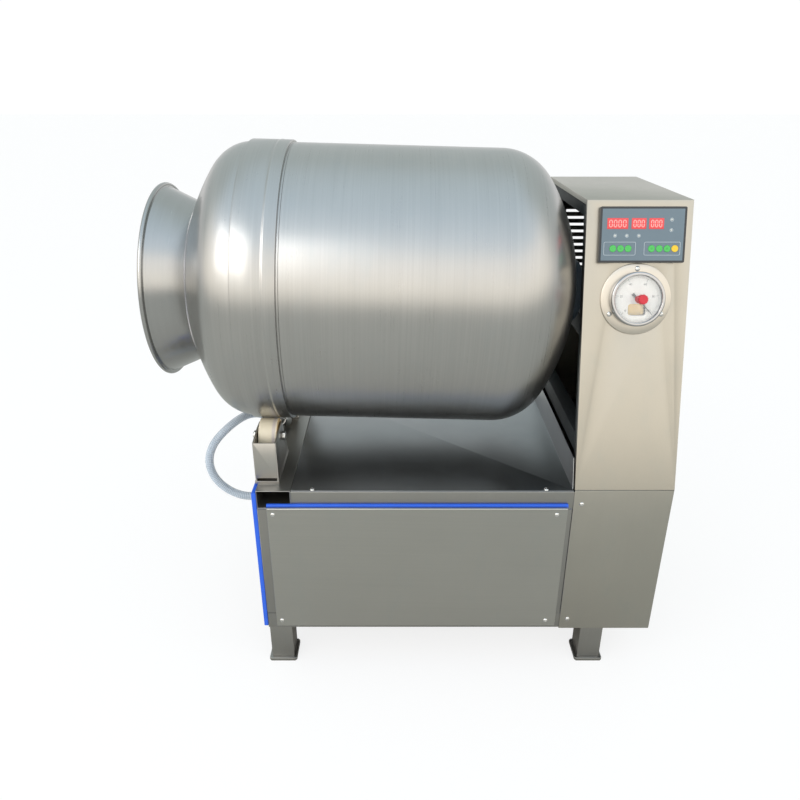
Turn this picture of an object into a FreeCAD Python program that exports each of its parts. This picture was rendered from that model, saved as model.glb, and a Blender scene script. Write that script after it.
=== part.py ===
"""Meat vacuum tumbler: a stainless drum on two front rollers and a rear shaft, driven by V-belts.

Layout axes, in millimetres: X to the right with 0 at the base's left face, Y to the back with 0 at
the base's front face, Z up with 0 at the floor.  The drum and all that turns with it are made along
their own axis and then tilted, mouth up, by TILT.  What lies on the column's leaning front is made on
an upright face and then leaned back.  At the end everything moves to the part's origin, on the floor
under the middle of the whole machine.
"""
import FreeCAD, Part
import math
import os

V = FreeCAD.Vector

# ---------------------------------------------------------------- base and column
BASE_WIDTH = 642.0            # left face to the column
BASE_DEPTH = 495.0
COLUMN_WIDTH = 200.0
DECK_HEIGHT = 455.0           # floor to the deck's top
BASE_BOTTOM = 103.0           # floor to the underside of the frame
TUBE = 40.0                   # frame tube, square
TUBE_WALL = 2.0
ROLLER_RAIL_WIDTH = 70.0
DECK_SHEET = 2.0
DECK_UPSTAND = 62.0
DECK_GAP = 1.0                # deck sheet to the roller rail and the frame's edges
LEG_TUBE = 50.0
LEG_WALL = 3.0
FOOT_SIZE = 62.0
FOOT_THICKNESS = 8.0
LEG_SETBACK = 10.0            # leg faces behind the frame's front and back
RIGHT_LEG_IN = 53.0           # right legs past the column's left side
TRAY_SHEET = 3.0
DRAIN_COUNT = 4
DRAIN_RADIUS = 9.0
DRAIN_FIRST = 300.0
DRAIN_PITCH = 30.0
DRAIN_Y = 110.0

# ---------------------------------------------------------------- column housing
SHEET = 1.5
LEAN = 15.0                   # degrees the column's upper front leans back
FOLD_ABOVE_DECK = 2.0
COLUMN_OVER_AXIS = 192.4      # column's top over the drum's axis
COLUMN_LIP = 10.0             # folded lip round the open left side
COLUMN_TUBE = 30.0
SIDE_RAIL_ABOVE_DECK = 65.0
SIDE_RAIL_HEIGHT = 36.0
FRAME_GAP = 2.0               # column tubes to the sheet in front of and beside them

# ---------------------------------------------------------------- access panels
PANEL_SHEET = 1.5
PANEL_FOLD = 8.0              # depth of the tray-shaped front and back panels
PANEL_SIDES = (22.0, 12.5)    # panel edge in from the base's left face and from the column
PANEL_BELOW_DECK = (33.0, 336.0)   # top and bottom
SEAL_THICK = 6.0
SEAL_BAND = 14.0
SEAL_SHOW = 4.5               # seal beyond the panel's edge
LEFT_SEAL_THICK = 9.0
LEFT_SEAL_TOP = 5.0           # below the deck
LEFT_SEAL_BOTTOM = 347.0
LEFT_SEAL_OVER = 1.0          # past the frame's front and back faces
LEFT_PANEL_INSET = 9.0
VENT_COUNT = 9
VENT_LENGTH = 180.0
VENT_SLOT = 6.0
VENT_PITCH = 16.0
VENT_BELOW_TOP = 208.0        # lowest slot of the column's back cover under its top
SCREW_HEAD = 5.0              # pan head radius
SCREW_HEAD_HEIGHT = 2.8

# ---------------------------------------------------------------- drum
TILT = 1.5                    # degrees, mouth up
DRUM_RADIUS = 280.3           # outside
DRUM_WALL = 3.0
BARREL_REAR = 196.0           # barrel's rear edge; lengths along the axis count from its middle point
FRONT_KNUCKLE = 80.0
FRONT_KNUCKLE_TURN = 56.0     # degrees
FRONT_CROWN = 420.0
NECK_RADIUS = 158.0
REAR_KNUCKLE = 113.0
REAR_CROWN = 408.0
BAND_WIDTH = 79.0
BAND_THICK = 4.7
BAND_GROOVE = 4.0             # weld groove beside the band
BAND_GROOVE_DEPTH = 1.2
RIM_RADIUS = 191.0
FLARE_LENGTH = 73.0
LIP_BEAD = 4.5                # radius of the rolled lip
LIP_OUT = 0.4                 # lip's centre outside the rim, as a share of its radius
LIP_SIDES = 12
FLIGHT_COUNT = 3
FLIGHT_HEIGHT = 60.0
FLIGHT_SHEET = 4.0
FLIGHT_LIP = 18.0
FLIGHT_INSET = 26.0           # flight ends in from the barrel's edges
FLIGHT_SKEW = 9.0             # degrees across the axis

# ---------------------------------------------------------------- shaft, bearings and drive
SHAFT_RADIUS = 20.0
SHAFT_EASE = 2.0              # chamfer at the shaft's end
RUNNING_GAP = 0.05            # radial, at every shaft and bore
HUB_RADIUS = 62.0
HUB_BOSS = 34.0
HUB_PLATE = 10.0
HUB_LENGTH = 23.0             # boss past the rear head
HUB_SEAT = 8.0                # hub metal over the head's curve
HUB_GUSSETS = 6
GUSSET_SHEET = 5.0
BEARING_PAST_HUB = 21.0       # first bearing's middle past the boss
BEARING_IN = 53.9             # first bearing's middle past the column's left side
BEARING_RAIL_GAP = 5.7        # second bearing's rail to the right uprights
BEARING_WIDTH = 34.0
BEARING_INSERT = 40.0         # insert outside radius
BEARING_CENTRE = 49.2         # centre height over the foot
BEARING_FOOT = 170.0
BEARING_FOOT_THICK = 16.0
BEARING_FOOT_WIDTH = 38.0
BEARING_BOLT_SPAN = 134.0
BEARING_BOLT_HOLE = 7.0
BEARING_WALL = 12.0           # casting round the insert
INSERT_WIDTH = 24.0
INSERT_CROWN = 1.4            # insert is this much thinner at its edges, so it can tilt in its seat
INSERT_GAP = 0.2
BOLT_ACROSS = 10.0            # corner radius of the hexagon head
BOLT_HEAD = 8.0
BOLT_WASHER = 2.5
BEARING_RAIL_WIDTH = 40.0
BEARING_RAIL_HEIGHT = 40.0
COLLAR_WIDTH = 9.0
COLLAR_GAP = 0.3
COLLAR_RADIUS = 28.0
PULLEY_PAST_BEARING = 45.0
DRUM_PULLEY = 76.0            # outside radius
MOTOR_PULLEY = 38.0
PULLEY_WEB = 10.0
PULLEY_RIM = 5.0              # metal under the grooves
PULLEY_EDGE = 2.5             # rim beside the outer grooves
PULLEY_HUB = 33.0
PULLEY_HOLES = 6
PULLEY_HOLE = 7.0
GEARMOTOR_ABOVE_TRAY = 93.6   # its axis under the drum's middle point, over the tray
BELT_COUNT = 2
BELT_PITCH = 15.0             # from belt to belt
BELT_TOP = 13.0
BELT_HEIGHT = 8.0
BELT_ANGLE = 38.0
BELT_PROUD = 0.8              # belt over the pulley's rim
BELT_GAP = 0.3                # belt to groove
GROOVE_CLEAR = 2.0            # under the belt
GEARBOX_LENGTH = 118.0
GEARBOX_WIDTH = 130.0
GEARBOX_FLOOR_GAP = 14.0      # feet under the housing's belly
GEARBOX_SETBACK = 52.0        # gearbox boss to the pulley's middle
OUTPUT_RADIUS = 14.0
OUTPUT_DEPTH = 30.0           # shaft inside the gearbox
OUTPUT_PAST = 24.0            # shaft past the pulley's middle
MOTOR_RADIUS = 62.0
MOTOR_LENGTH = 170.0
MOTOR_FINS = 20
FAN_COVER_LENGTH = 46.0

# ---------------------------------------------------------------- rollers
ROLLER_RADIUS = 37.0
ROLLER_WIDTH = 38.0
ROLLER_SPAN = 147.0           # roller centre in front of and behind the drum's axis
ROLLER_IN = 19.6              # roller's middle from the base's left face
ROLLER_ABOVE_DECK = 74.8
BAND_AHEAD = 32.0             # band's front edge ahead of the roller's middle
ROLLER_GAP = 0.3              # tread to track
AXLE_RADIUS = 6.0
AXLE_HEAD = 9.5
AXLE_HEAD_THICK = 7.5
BRACKET_SHEET = 3.0
BRACKET_SIDE_GAP = 1.6        # roller to cheek
BRACKET_FOOT = 6.0
BRACKET_SLOT = 6.0            # open strip under the front plate
BRACKET_FRONT = 70.0          # front plate ahead of the roller's centre
BRACKET_BACK = 64.0
BRACKET_PLATE_TOP = 92.0
BRACKET_CHEEK_TOP = 100.0

# ---------------------------------------------------------------- lid
LID_THICK = 12.0
LID_AHEAD = 29.8              # the lid's outside face ahead of the neck
LID_SEAL_WALL = 5.0           # seal between the lid's inner edge and the flare
SEAL_LIP = 3.0
LID_SEAL_GAP = 0.4
LID_SEAL_OVERLAP = 9.0
HANDLE_ROD = 5.0
HANDLE_REACH = 30.0
HANDLE_BEND = 9.0             # mitred corner of the rod
HANDLE_LENGTH = 96.0
HANDLE_AT = 92.0
PORT_RADIUS = 26.0
PORT_THICK = 8.0
SWIVEL_RADIUS = 13.0
SWIVEL_LENGTH = 24.0
SWIVEL_SPIGOT = 7.0
SWIVEL_TAIL = 44.0
SWIVEL_TAIL_RADIUS = 7.5
BARB_COUNT = 4
BARB_PITCH = 6.0
BARB_DEPTH = 1.2

# ---------------------------------------------------------------- control unit, on the leaning face
CONTROL_CENTRE = (4.5, 64.6)      # across from the column's middle, and down from the face's top
CONTROL_SIZE = (162.0, 103.0)
CONTROL_PROUD = 8.0
CONTROL_BORDER = 4.0
CONTROL_FACE = 2.0
CONTROL_BODY = (120.0, 88.0, 46.0)
CONTROL_CORNER = 3.0
CUTOUT_GAP = 0.5
WINDOW_PROUD = 0.4
WINDOWS = ((-47.9, 39.4), (-8.1, 27.7), (24.8, 27.7))   # from the unit's middle, and width
WINDOW_ABOVE = 20.4           # over the unit's middle
WINDOW_HEIGHT = 20.0
LED_RADIUS = 2.2
LED_TIP = 1.0
LEDS = ((53.2, 27.5), (53.2, 8.5), (-52.0, -1.9), (-29.9, -1.9), (-7.3, -1.9))   # from the middle
KEY_BELOW = 25.5              # key row under the unit's middle
KEYS = (-55.0, -40.6, -26.2, 17.9, 32.5, 47.1, 61.7)   # from the unit's middle
KEY_RADIUS = 6.4
KEY_GAP = 0.25
KEY_PROUD = 0.9
KEY_TRAVEL = 0.6
KEY_SKIRT = 2.6
KEY_EASE = 0.5

# ---------------------------------------------------------------- vacuum gauge, on the leaning face
GAUGE_CENTRE = (0.0, 184.2)   # across from the column's middle, and down from the face's top
GAUGE_FLANGE = 67.5
GAUGE_FLANGE_THICK = 2.5
GAUGE_SCREW_CIRCLE = 57.2
GAUGE_CASE = 49.0
GAUGE_CASE_DEPTH = 42.0
GAUGE_WALL = 1.5
GAUGE_BEZEL = 51.5
GAUGE_BEZEL_PROUD = 17.0
GAUGE_GLASS_THICK = 3.0
DIAL_RADIUS = 45.5
DIAL_DEPTH = 9.0              # behind the bezel's front
DIAL_THICK = 1.2
NEEDLE_REST = 135.0           # degrees clockwise from the top, seen from the front: at zero vacuum
NEEDLE_TIP = 38.0
NEEDLE_TAIL = 14.0
NEEDLE_THICK = 0.8
SPINDLE = 1.6
KNOB_RADIUS = 9.5
KNOB_LENGTH = 15.0
KNOB_COLLAR = 7.0
KNOB_COLLAR_LENGTH = 14.0
KNOB_SPINDLE = 3.0
KNOB_INSIDE = 0.4             # spindle behind the glass

# ---------------------------------------------------------------- vacuum pump and piping in the base
PUMP_CENTRE = (205.0, 300.0)
PUMP_BODY = (120.0, 130.0, 118.0)
PUMP_MOTOR_RADIUS = 58.0
PUMP_MOTOR_LENGTH = 150.0
SEPARATOR_CENTRE = (92.0, 96.0)
SEPARATOR_RADIUS = 44.0
SEPARATOR_HEIGHT = 170.0
PORT_Y = 140.0                # hose port on the left side
PORT_Z = 355.0
PORT_HEX = 13.0
PORT_HEX_LENGTH = 10.0
PORT_FERRULE = 11.0
PORT_FERRULE_LENGTH = 14.0
HOSE_RADIUS = 8.6
GLAND_RADIUS = 14.0
GLAND_BORE = 6.0
GLAND_LENGTH = 30.0
GLAND_Z = 190.0
COUPLING_FERRULE = 10.6
COUPLING_SLEEVE = 13.2
COUPLING_MOUTH = 12.6
COUPLING_BORE = 7.0
COUPLING_LENGTH = 40.0

# ---------------------------------------------------------------- worked out from the above
TILT_RAD = math.radians(TILT)
LEAN_RAD = math.radians(LEAN)
COLUMN_RIGHT = BASE_WIDTH + COLUMN_WIDTH
COLUMN_MIDDLE = BASE_WIDTH + COLUMN_WIDTH / 2
FOLD_Z = DECK_HEIGHT + FOLD_ABOVE_DECK
TRAY_TOP = BASE_BOTTOM + TUBE + TRAY_SHEET
PANEL_LEFT = PANEL_SIDES[0]
PANEL_RIGHT = BASE_WIDTH - PANEL_SIDES[1]
RIGHT_LEG_X = BASE_WIDTH + RIGHT_LEG_IN
# Along the drum's axis, from the point that the tilt turns about.
REAR_APEX = (BARREL_REAR + REAR_CROWN
             - math.sqrt((REAR_CROWN - REAR_KNUCKLE) ** 2 - (DRUM_RADIUS - REAR_KNUCKLE) ** 2))
HUB_END = REAR_APEX + HUB_LENGTH
BEARING_1 = HUB_END + BEARING_PAST_HUB
PULLEY_AT = BEARING_1 + PULLEY_PAST_BEARING
TRACK_RADIUS = DRUM_RADIUS + BAND_THICK
ROLLER_BELOW = math.sqrt((TRACK_RADIUS + ROLLER_RADIUS + ROLLER_GAP) ** 2 - ROLLER_SPAN ** 2)

# The tilt's point in layout axes, from the column on the right and the rollers on the left.
AXIS_X = BASE_WIDTH + BEARING_IN - BEARING_1 * math.cos(TILT_RAD)
AXIS_Y = BASE_DEPTH / 2
ROLLER_AT = (ROLLER_IN - AXIS_X + ROLLER_BELOW * math.sin(TILT_RAD)) / math.cos(TILT_RAD)
AXIS_Z = (DECK_HEIGHT + ROLLER_ABOVE_DECK + ROLLER_AT * math.sin(TILT_RAD)
          + ROLLER_BELOW * math.cos(TILT_RAD))
BEARING_2 = (COLUMN_RIGHT - SHEET - FRAME_GAP - COLUMN_TUBE - BEARING_RAIL_GAP
             - BEARING_RAIL_WIDTH / 2 - AXIS_X) / math.cos(TILT_RAD)
SHAFT_CENTRES = AXIS_Z - TRAY_TOP - GEARMOTOR_ABOVE_TRAY
BARREL_FRONT = ROLLER_AT - BAND_AHEAD
BAND_REAR = BARREL_FRONT + BAND_WIDTH

# On the column's leaning face, which ends a set height over the drum's axis.
COLUMN_TOP = AXIS_Z + COLUMN_OVER_AXIS
FACE_LENGTH = (COLUMN_TOP - FOLD_Z) / math.cos(LEAN_RAD)
CONTROL_X = COLUMN_MIDDLE + CONTROL_CENTRE[0]
CONTROL_UP = FACE_LENGTH - CONTROL_CENTRE[1]
KEY_XS = [CONTROL_X + x for x in KEYS]
KEY_UP = CONTROL_UP - KEY_BELOW
WINDOW_UP = CONTROL_UP + WINDOW_ABOVE
GAUGE_X = COLUMN_MIDDLE + GAUGE_CENTRE[0]
GAUGE_UP = FACE_LENGTH - GAUGE_CENTRE[1]
GAUGE_FRONT = -GAUGE_FLANGE_THICK - GAUGE_BEZEL_PROUD
DIAL_FRONT = GAUGE_FRONT + DIAL_DEPTH


# ================================================================ helpers
def box(x0, x1, y0, y1, z0, z1):
    """Box between two corners."""
    return Part.makeBox(x1 - x0, y1 - y0, z1 - z0, V(x0, y0, z0))


def rod(radius, start, end):
    """Cylinder from one point to another."""
    axis = V(*end) - V(*start)
    return Part.makeCylinder(radius, axis.Length, V(*start), axis)


def group(shapes):
    """Several separate solids as one node."""
    return Part.makeCompound(list(shapes))


def fused(shapes):
    """One solid from pieces that touch or overlap."""
    first = shapes[0]
    return first.fuse(list(shapes[1:])).removeSplitter()


def prism(points, vector):
    """Straight prism: a closed outline of 3-D points pushed along a vector."""
    corners = [V(*p) for p in points]
    return Part.Face(Part.makePolygon(corners + corners[:1])).extrude(V(*vector))


def square_tube(x0, x1, y0, y1, z0, z1, along, wall=TUBE_WALL):
    """Rectangular tube, open at both ends, that runs along 'x', 'y' or 'z'."""
    outer = box(x0, x1, y0, y1, z0, z1)
    grow = {axis: (1.0 if axis == along else -wall) for axis in "xyz"}
    inner = box(x0 - grow["x"], x1 + grow["x"], y0 - grow["y"], y1 + grow["y"],
                z0 - grow["z"], z1 + grow["z"])
    return outer.cut(inner)


def turned(outline, full=360):
    """Solid turned about the X axis from a closed outline of (along, radius) points or edges."""
    if isinstance(outline[0], tuple):
        corners = [V(a, 0, r) for a, r in outline]
        wire = Part.makePolygon(corners + corners[:1])
    else:
        wire = Part.Wire(outline)
    return Part.Face(wire).revolve(V(0, 0, 0), V(1, 0, 0), full)


def flat_turned(outline):
    """Solid turned about the face's inward normal, the Y axis, from (depth, radius) points."""
    corners = [V(r, d, 0) for d, r in outline]
    return Part.Face(Part.makePolygon(corners + corners[:1])).revolve(V(0, 0, 0), V(0, 1, 0), 360)


def regular_prism(sides, across, start, end, spin=0.0):
    """Hexagon-like prism between two points; across is the corner radius."""
    axis = V(*end) - V(*start)
    side = V(0, 0, 1) if abs(axis.z) < 0.9 * axis.Length else V(1, 0, 0)
    u = axis.cross(side).normalize()
    w = axis.cross(u).normalize()
    corners = []
    for i in range(sides):
        angle = math.radians(spin) + 2 * math.pi * i / sides
        corners.append(V(*start) + u * (across * math.cos(angle)) + w * (across * math.sin(angle)))
    return Part.Face(Part.makePolygon(corners + corners[:1])).extrude(axis)


def tilted(shape):
    """Drum frame to layout: along the tilted axis, mouth towards -X and up."""
    out = shape.copy()
    out.rotate(V(0, 0, 0), V(0, 1, 0), TILT)
    out.translate(V(AXIS_X, AXIS_Y, AXIS_Z))
    return out


def tilted_point(a, y=0.0, z=0.0):
    """A point of the drum frame in layout axes."""
    x = a * math.cos(TILT_RAD) + z * math.sin(TILT_RAD)
    up = -a * math.sin(TILT_RAD) + z * math.cos(TILT_RAD)
    return V(AXIS_X + x, AXIS_Y + y, AXIS_Z + up)


def on_face(shape):
    """Upright face frame (X across, Y inward, Z up from the fold) to the leaning front."""
    out = shape.copy()
    out.rotate(V(0, 0, 0), V(1, 0, 0), -LEAN)
    out.translate(V(0, 0, FOLD_Z))
    return out


def on_face_point(x, y, z):
    """A point of the face frame in layout axes."""
    back = y * math.cos(LEAN_RAD) + z * math.sin(LEAN_RAD)
    up = -y * math.sin(LEAN_RAD) + z * math.cos(LEAN_RAD)
    return V(x, back, FOLD_Z + up)


def at_gauge(shape):
    """Gauge frame, centred on the dial, to the leaning front."""
    moved = shape.copy()
    moved.translate(V(GAUGE_X, 0, GAUGE_UP))
    return on_face(moved)


def pan_screw(point, normal):
    """Pan head that seats on a surface at point and faces along normal."""
    n = V(*normal).normalize()
    h = SCREW_HEAD_HEIGHT
    outline = [(0, 0), (SCREW_HEAD, 0), (SCREW_HEAD, h * 0.35), (SCREW_HEAD * 0.6, h), (0, h)]
    corners = [V(r, 0, z) for r, z in outline]
    head = Part.Face(Part.makePolygon(corners + corners[:1])).revolve(V(0, 0, 0), V(0, 0, 1), 360)
    head.Placement = FreeCAD.Placement(V(*point), FreeCAD.Rotation(V(0, 0, 1), n))
    return head


def hex_bolt(point, normal, across, height, washer):
    """Hexagon head on its washer, seated at point."""
    n = V(*normal).normalize()
    base = V(*point)
    disc = Part.makeCylinder(across * 1.25, washer, base, n)
    top = base + n * washer
    head = regular_prism(6, across, tuple(top), tuple(top + n * height))
    return disc.fuse(head)


# ================================================================ base
def post_lefts():
    """Left faces of the base's posts: at the left end, under the column's side, at the right end."""
    return 0.0, BASE_WIDTH - TUBE, COLUMN_RIGHT - SHEET - TUBE


def base_frame():
    """Welded frame: bottom and top rings, posts, legs and foot plates, one solid per piece."""
    low0, low1 = BASE_BOTTOM, BASE_BOTTOM + TUBE
    top1 = DECK_HEIGHT - DECK_SHEET
    top0 = top1 - TUBE
    back0 = BASE_DEPTH - TUBE
    left0, mid0, right0 = post_lefts()
    right1 = right0 + TUBE
    mid1 = mid0 + TUBE
    tubes = []
    for y0 in (0.0, back0):
        tubes.append(square_tube(0, right1, y0, y0 + TUBE, low0, low1, "x"))
        tubes.append(square_tube(ROLLER_RAIL_WIDTH, right1, y0, y0 + TUBE, top0, top1, "x"))
        for x0 in (left0, mid0, right0):
            tubes.append(square_tube(x0, x0 + TUBE, y0, y0 + TUBE, low1, top0, "z"))
    for x0, x1 in ((left0, left0 + TUBE), (mid0, mid1), (right0, right1)):
        tubes.append(square_tube(x0, x1, TUBE, back0, low0, low1, "y"))
    for x0, x1 in ((mid0, mid1), (right0, right1)):
        tubes.append(square_tube(x0, x1, TUBE, back0, top0, top1, "y"))
    tubes.append(square_tube(0, ROLLER_RAIL_WIDTH, 0, BASE_DEPTH, top0, DECK_HEIGHT, "y"))
    for x0 in (0.0, RIGHT_LEG_X):
        for y0 in (LEG_SETBACK, BASE_DEPTH - LEG_SETBACK - LEG_TUBE):
            tubes.append(square_tube(x0, x0 + LEG_TUBE, y0, y0 + LEG_TUBE,
                                     FOOT_THICKNESS, BASE_BOTTOM, "z", LEG_WALL))
    return group(tubes + foot_plates())


def foot_centres():
    """Middle of each leg, in layout X and Y."""
    half = LEG_TUBE / 2
    return [(x0 + half, y) for x0 in (0.0, RIGHT_LEG_X)
            for y in (LEG_SETBACK + half, BASE_DEPTH - LEG_SETBACK - half)]


def foot_plates():
    """Four flat plates under the legs."""
    half = FOOT_SIZE / 2
    plates = []
    for x, y in foot_centres():
        plate = box(x - half, x + half, y - half, y + half, 0, FOOT_THICKNESS)
        upright = [e for e in plate.Edges if abs(e.tangentAt(e.FirstParameter).z) > 0.9]
        plates.append(plate.makeChamfer(4.0, upright))
    return plates


def deck_plate():
    """Deck sheet with its right edge folded up inside the column's open side."""
    x0 = ROLLER_RAIL_WIDTH + DECK_GAP
    x1 = BASE_WIDTH - DECK_GAP
    z0 = DECK_HEIGHT - DECK_SHEET
    sheet = box(x0, x1, DECK_GAP, BASE_DEPTH - DECK_GAP, z0, DECK_HEIGHT)
    lean = DECK_UPSTAND * math.tan(LEAN_RAD) + COLUMN_LIP
    upstand = prism([(x1, lean * 0.25, z0), (x1, lean, DECK_HEIGHT + DECK_UPSTAND),
                     (x1, BASE_DEPTH - DECK_GAP, DECK_HEIGHT + DECK_UPSTAND),
                     (x1, BASE_DEPTH - DECK_GAP, z0)], (-DECK_SHEET, 0, 0))
    return fused([sheet, upstand])


def machine_tray():
    """Plate across the bottom rails that carries the drive and the pump, drained in the middle."""
    z1 = TRAY_TOP
    tray = box(TUBE * 0.5, COLUMN_RIGHT - TUBE, TUBE * 0.5, BASE_DEPTH - TUBE * 0.5,
               z1 - TRAY_SHEET, z1)
    for x0 in post_lefts():
        for y0 in (0.0, BASE_DEPTH - TUBE):
            tray = tray.cut(box(x0 - 1, x0 + TUBE + 1, y0 - 1, y0 + TUBE + 1, z1 - 5, z1 + 1))
    for i in range(DRAIN_COUNT):
        x = DRAIN_FIRST + DRAIN_PITCH * i
        tray = tray.cut(rod(DRAIN_RADIUS, (x, DRAIN_Y, z1 - 5), (x, DRAIN_Y, z1 + 1)))
    return group([tray] + motor_stand())


def tray_panel(x0, x1, z0, z1, y_face, inward):
    """Sheet folded back on four sides; inward is +1 when its back looks along +Y."""
    y_back = y_face + inward * PANEL_FOLD
    lo, hi = min(y_face, y_back), max(y_face, y_back)
    tray = box(x0, x1, lo, hi, z0, z1)
    on_front = [e for e in tray.Edges
                if all(abs(v.Point.y - y_face) < 0.01 for v in e.Vertexes)]
    tray = tray.makeFillet(2.0, on_front)
    hollow = box(x0 + PANEL_SHEET, x1 - PANEL_SHEET,
                 lo + (PANEL_SHEET if inward > 0 else -1), hi + (1 if inward > 0 else -PANEL_SHEET),
                 z0 + PANEL_SHEET, z1 - PANEL_SHEET)
    return tray.cut(hollow)


def panel_heights():
    """Bottom and top of the front and back panels over the floor."""
    return DECK_HEIGHT - PANEL_BELOW_DECK[1], DECK_HEIGHT - PANEL_BELOW_DECK[0]


def front_panel():
    """Front access panel, a shallow folded tray on its seal."""
    z0, z1 = panel_heights()
    return tray_panel(PANEL_LEFT, PANEL_RIGHT, z0, z1, -SEAL_THICK - PANEL_FOLD, 1)


def back_panel():
    """Back access panel with a block of cooling slots."""
    z0, z1 = panel_heights()
    face = BASE_DEPTH + SEAL_THICK + PANEL_FOLD
    panel = tray_panel(PANEL_LEFT, PANEL_RIGHT, z0, z1, face, -1)
    middle = (PANEL_LEFT + PANEL_RIGHT) / 2
    for side in (-1, 1):
        centre = middle + side * VENT_LENGTH * 0.65
        for i in range(VENT_COUNT):
            z = (z0 + z1) / 2 + (i - (VENT_COUNT - 1) / 2) * VENT_PITCH
            slot = box(centre - VENT_LENGTH / 2, centre + VENT_LENGTH / 2,
                       face - 5, face + 5, z - VENT_SLOT / 2, z + VENT_SLOT / 2)
            panel = panel.cut(slot)
    return panel


def left_panel():
    """Flat left side panel with the hose port's hole."""
    x1 = -LEFT_SEAL_THICK
    plate = box(x1 - PANEL_SHEET, x1, LEFT_PANEL_INSET, BASE_DEPTH - LEFT_PANEL_INSET,
                DECK_HEIGHT - LEFT_SEAL_BOTTOM + LEFT_PANEL_INSET,
                DECK_HEIGHT - LEFT_SEAL_TOP - LEFT_PANEL_INSET)
    return plate.cut(rod(PORT_HEX * 0.62, (x1 - 10, PORT_Y, PORT_Z), (x1 + 10, PORT_Y, PORT_Z)))


def picture_frame(outer, band):
    """Rectangular ring of sheet: outer box less its middle, open along its thinnest side."""
    b = outer.BoundBox
    sizes = (b.XLength, b.YLength, b.ZLength)
    thin = sizes.index(min(sizes))
    grow = [(1.0 if i == thin else -band) for i in range(3)]
    inner = box(b.XMin - grow[0], b.XMax + grow[0], b.YMin - grow[1], b.YMax + grow[1],
                b.ZMin - grow[2], b.ZMax + grow[2])
    return outer.cut(inner)


def panel_seals():
    """Silicone strips under the three access panels, one closed ring each."""
    z0, z1 = panel_heights()
    x0, x1 = PANEL_LEFT - 1.5, PANEL_RIGHT + 2.0
    rings = []
    for y0, y1 in ((-SEAL_THICK, 0.0), (BASE_DEPTH, BASE_DEPTH + SEAL_THICK)):
        outer = box(x0, x1, y0, y1, z0 - 2.0, z1 + SEAL_SHOW)
        rings.append(picture_frame(outer, SEAL_BAND))
    side = box(-LEFT_SEAL_THICK, 0, -LEFT_SEAL_OVER, BASE_DEPTH + LEFT_SEAL_OVER,
               DECK_HEIGHT - LEFT_SEAL_BOTTOM, DECK_HEIGHT - LEFT_SEAL_TOP)
    rings.append(picture_frame(side, SEAL_BAND + LEFT_PANEL_INSET))
    return group(rings)


def panel_screws():
    """Pan heads of the access panels, the deck, the column covers and the gauge."""
    z0, z1 = panel_heights()
    heads = []
    for y, n in ((-SEAL_THICK - PANEL_FOLD, (0, -1, 0)),
                 (BASE_DEPTH + SEAL_THICK + PANEL_FOLD, (0, 1, 0))):
        for x in (PANEL_LEFT + 12.0, PANEL_RIGHT - 22.0):
            for z in (z0 + 16.0, z1 - 14.0):
                heads.append(pan_screw((x, y, z), n))
    x = -LEFT_SEAL_THICK - PANEL_SHEET
    inset = LEFT_PANEL_INSET + SCREW_HEAD + 5.0
    for y in (inset, BASE_DEPTH - inset):
        for z in (DECK_HEIGHT - LEFT_SEAL_BOTTOM + inset, DECK_HEIGHT - LEFT_SEAL_TOP - inset):
            heads.append(pan_screw((x, y, z), (-1, 0, 0)))
    for x in (ROLLER_RAIL_WIDTH + 44.0, BASE_WIDTH - 56.0):
        for y in (7.0, BASE_DEPTH - 7.0):
            heads.append(pan_screw((x, y, DECK_HEIGHT), (0, 0, 1)))
    for z in (BASE_BOTTOM + 25.0, FOLD_Z - 32.0):
        heads.append(pan_screw((BASE_WIDTH + 17.0, -SHEET, z), (0, -1, 0)))
        heads.append(pan_screw((COLUMN_RIGHT, AXIS_Y, z), (1, 0, 0)))
    for x in (BASE_WIDTH + 17.0, COLUMN_RIGHT - 17.0):
        for z in (BASE_BOTTOM + 25.0, FOLD_Z - 32.0, COLUMN_TOP - 25.0):
            heads.append(pan_screw((x, BASE_DEPTH + SHEET, z), (0, 1, 0)))
    for i in range(3):
        angle = math.radians(90 + 120 * i)
        spot = V(GAUGE_SCREW_CIRCLE * math.cos(angle), -GAUGE_FLANGE_THICK,
                 GAUGE_SCREW_CIRCLE * math.sin(angle))
        heads.append(at_gauge(pan_screw(tuple(spot), (0, -1, 0))))
    return group(heads)


# ================================================================ column
def side_outline(front, top, back, bottom):
    """Column's side outline in Y and Z, moved inward by the given margins."""
    slope = math.tan(LEAN_RAD)
    shift = front / math.cos(LEAN_RAD)
    z0, z1 = FOLD_Z + bottom, COLUMN_TOP - top
    return [((z0 - FOLD_Z) * slope + shift, z0), ((z1 - FOLD_Z) * slope + shift, z1),
            (BASE_DEPTH - back, z1), (BASE_DEPTH - back, z0)]


def side_prism(x0, x1, front, top, back, bottom):
    """The column's side outline pushed from x0 to x1."""
    points = [(x0, y, z) for y, z in side_outline(front, top, back, bottom)]
    return prism(points, (x1 - x0, 0, 0))


def column_shell():
    """Upper housing: leaning front, top and right side in one sheet, lipped round the open left."""
    shell = side_prism(BASE_WIDTH, COLUMN_RIGHT, 0, 0, 0, 0)
    shell = shell.cut(side_prism(BASE_WIDTH + SHEET, COLUMN_RIGHT - SHEET, SHEET, SHEET, -1, -1))
    shell = shell.cut(side_prism(BASE_WIDTH - 1, BASE_WIDTH + SHEET + 1,
                                 COLUMN_LIP, COLUMN_LIP, -1, -1))
    cx, cz = CONTROL_X, CONTROL_UP
    half_w = CONTROL_BODY[0] / 2 + CUTOUT_GAP
    half_h = CONTROL_BODY[1] / 2 + CUTOUT_GAP
    window = on_face(box(cx - half_w, cx + half_w, -5, 5 + SHEET, cz - half_h, cz + half_h))
    gauge_hole = at_gauge(rod(GAUGE_CASE + CUTOUT_GAP, (0, -5, 0), (0, 5 + SHEET, 0)))
    return shell.cut(window).cut(gauge_hole)


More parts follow.
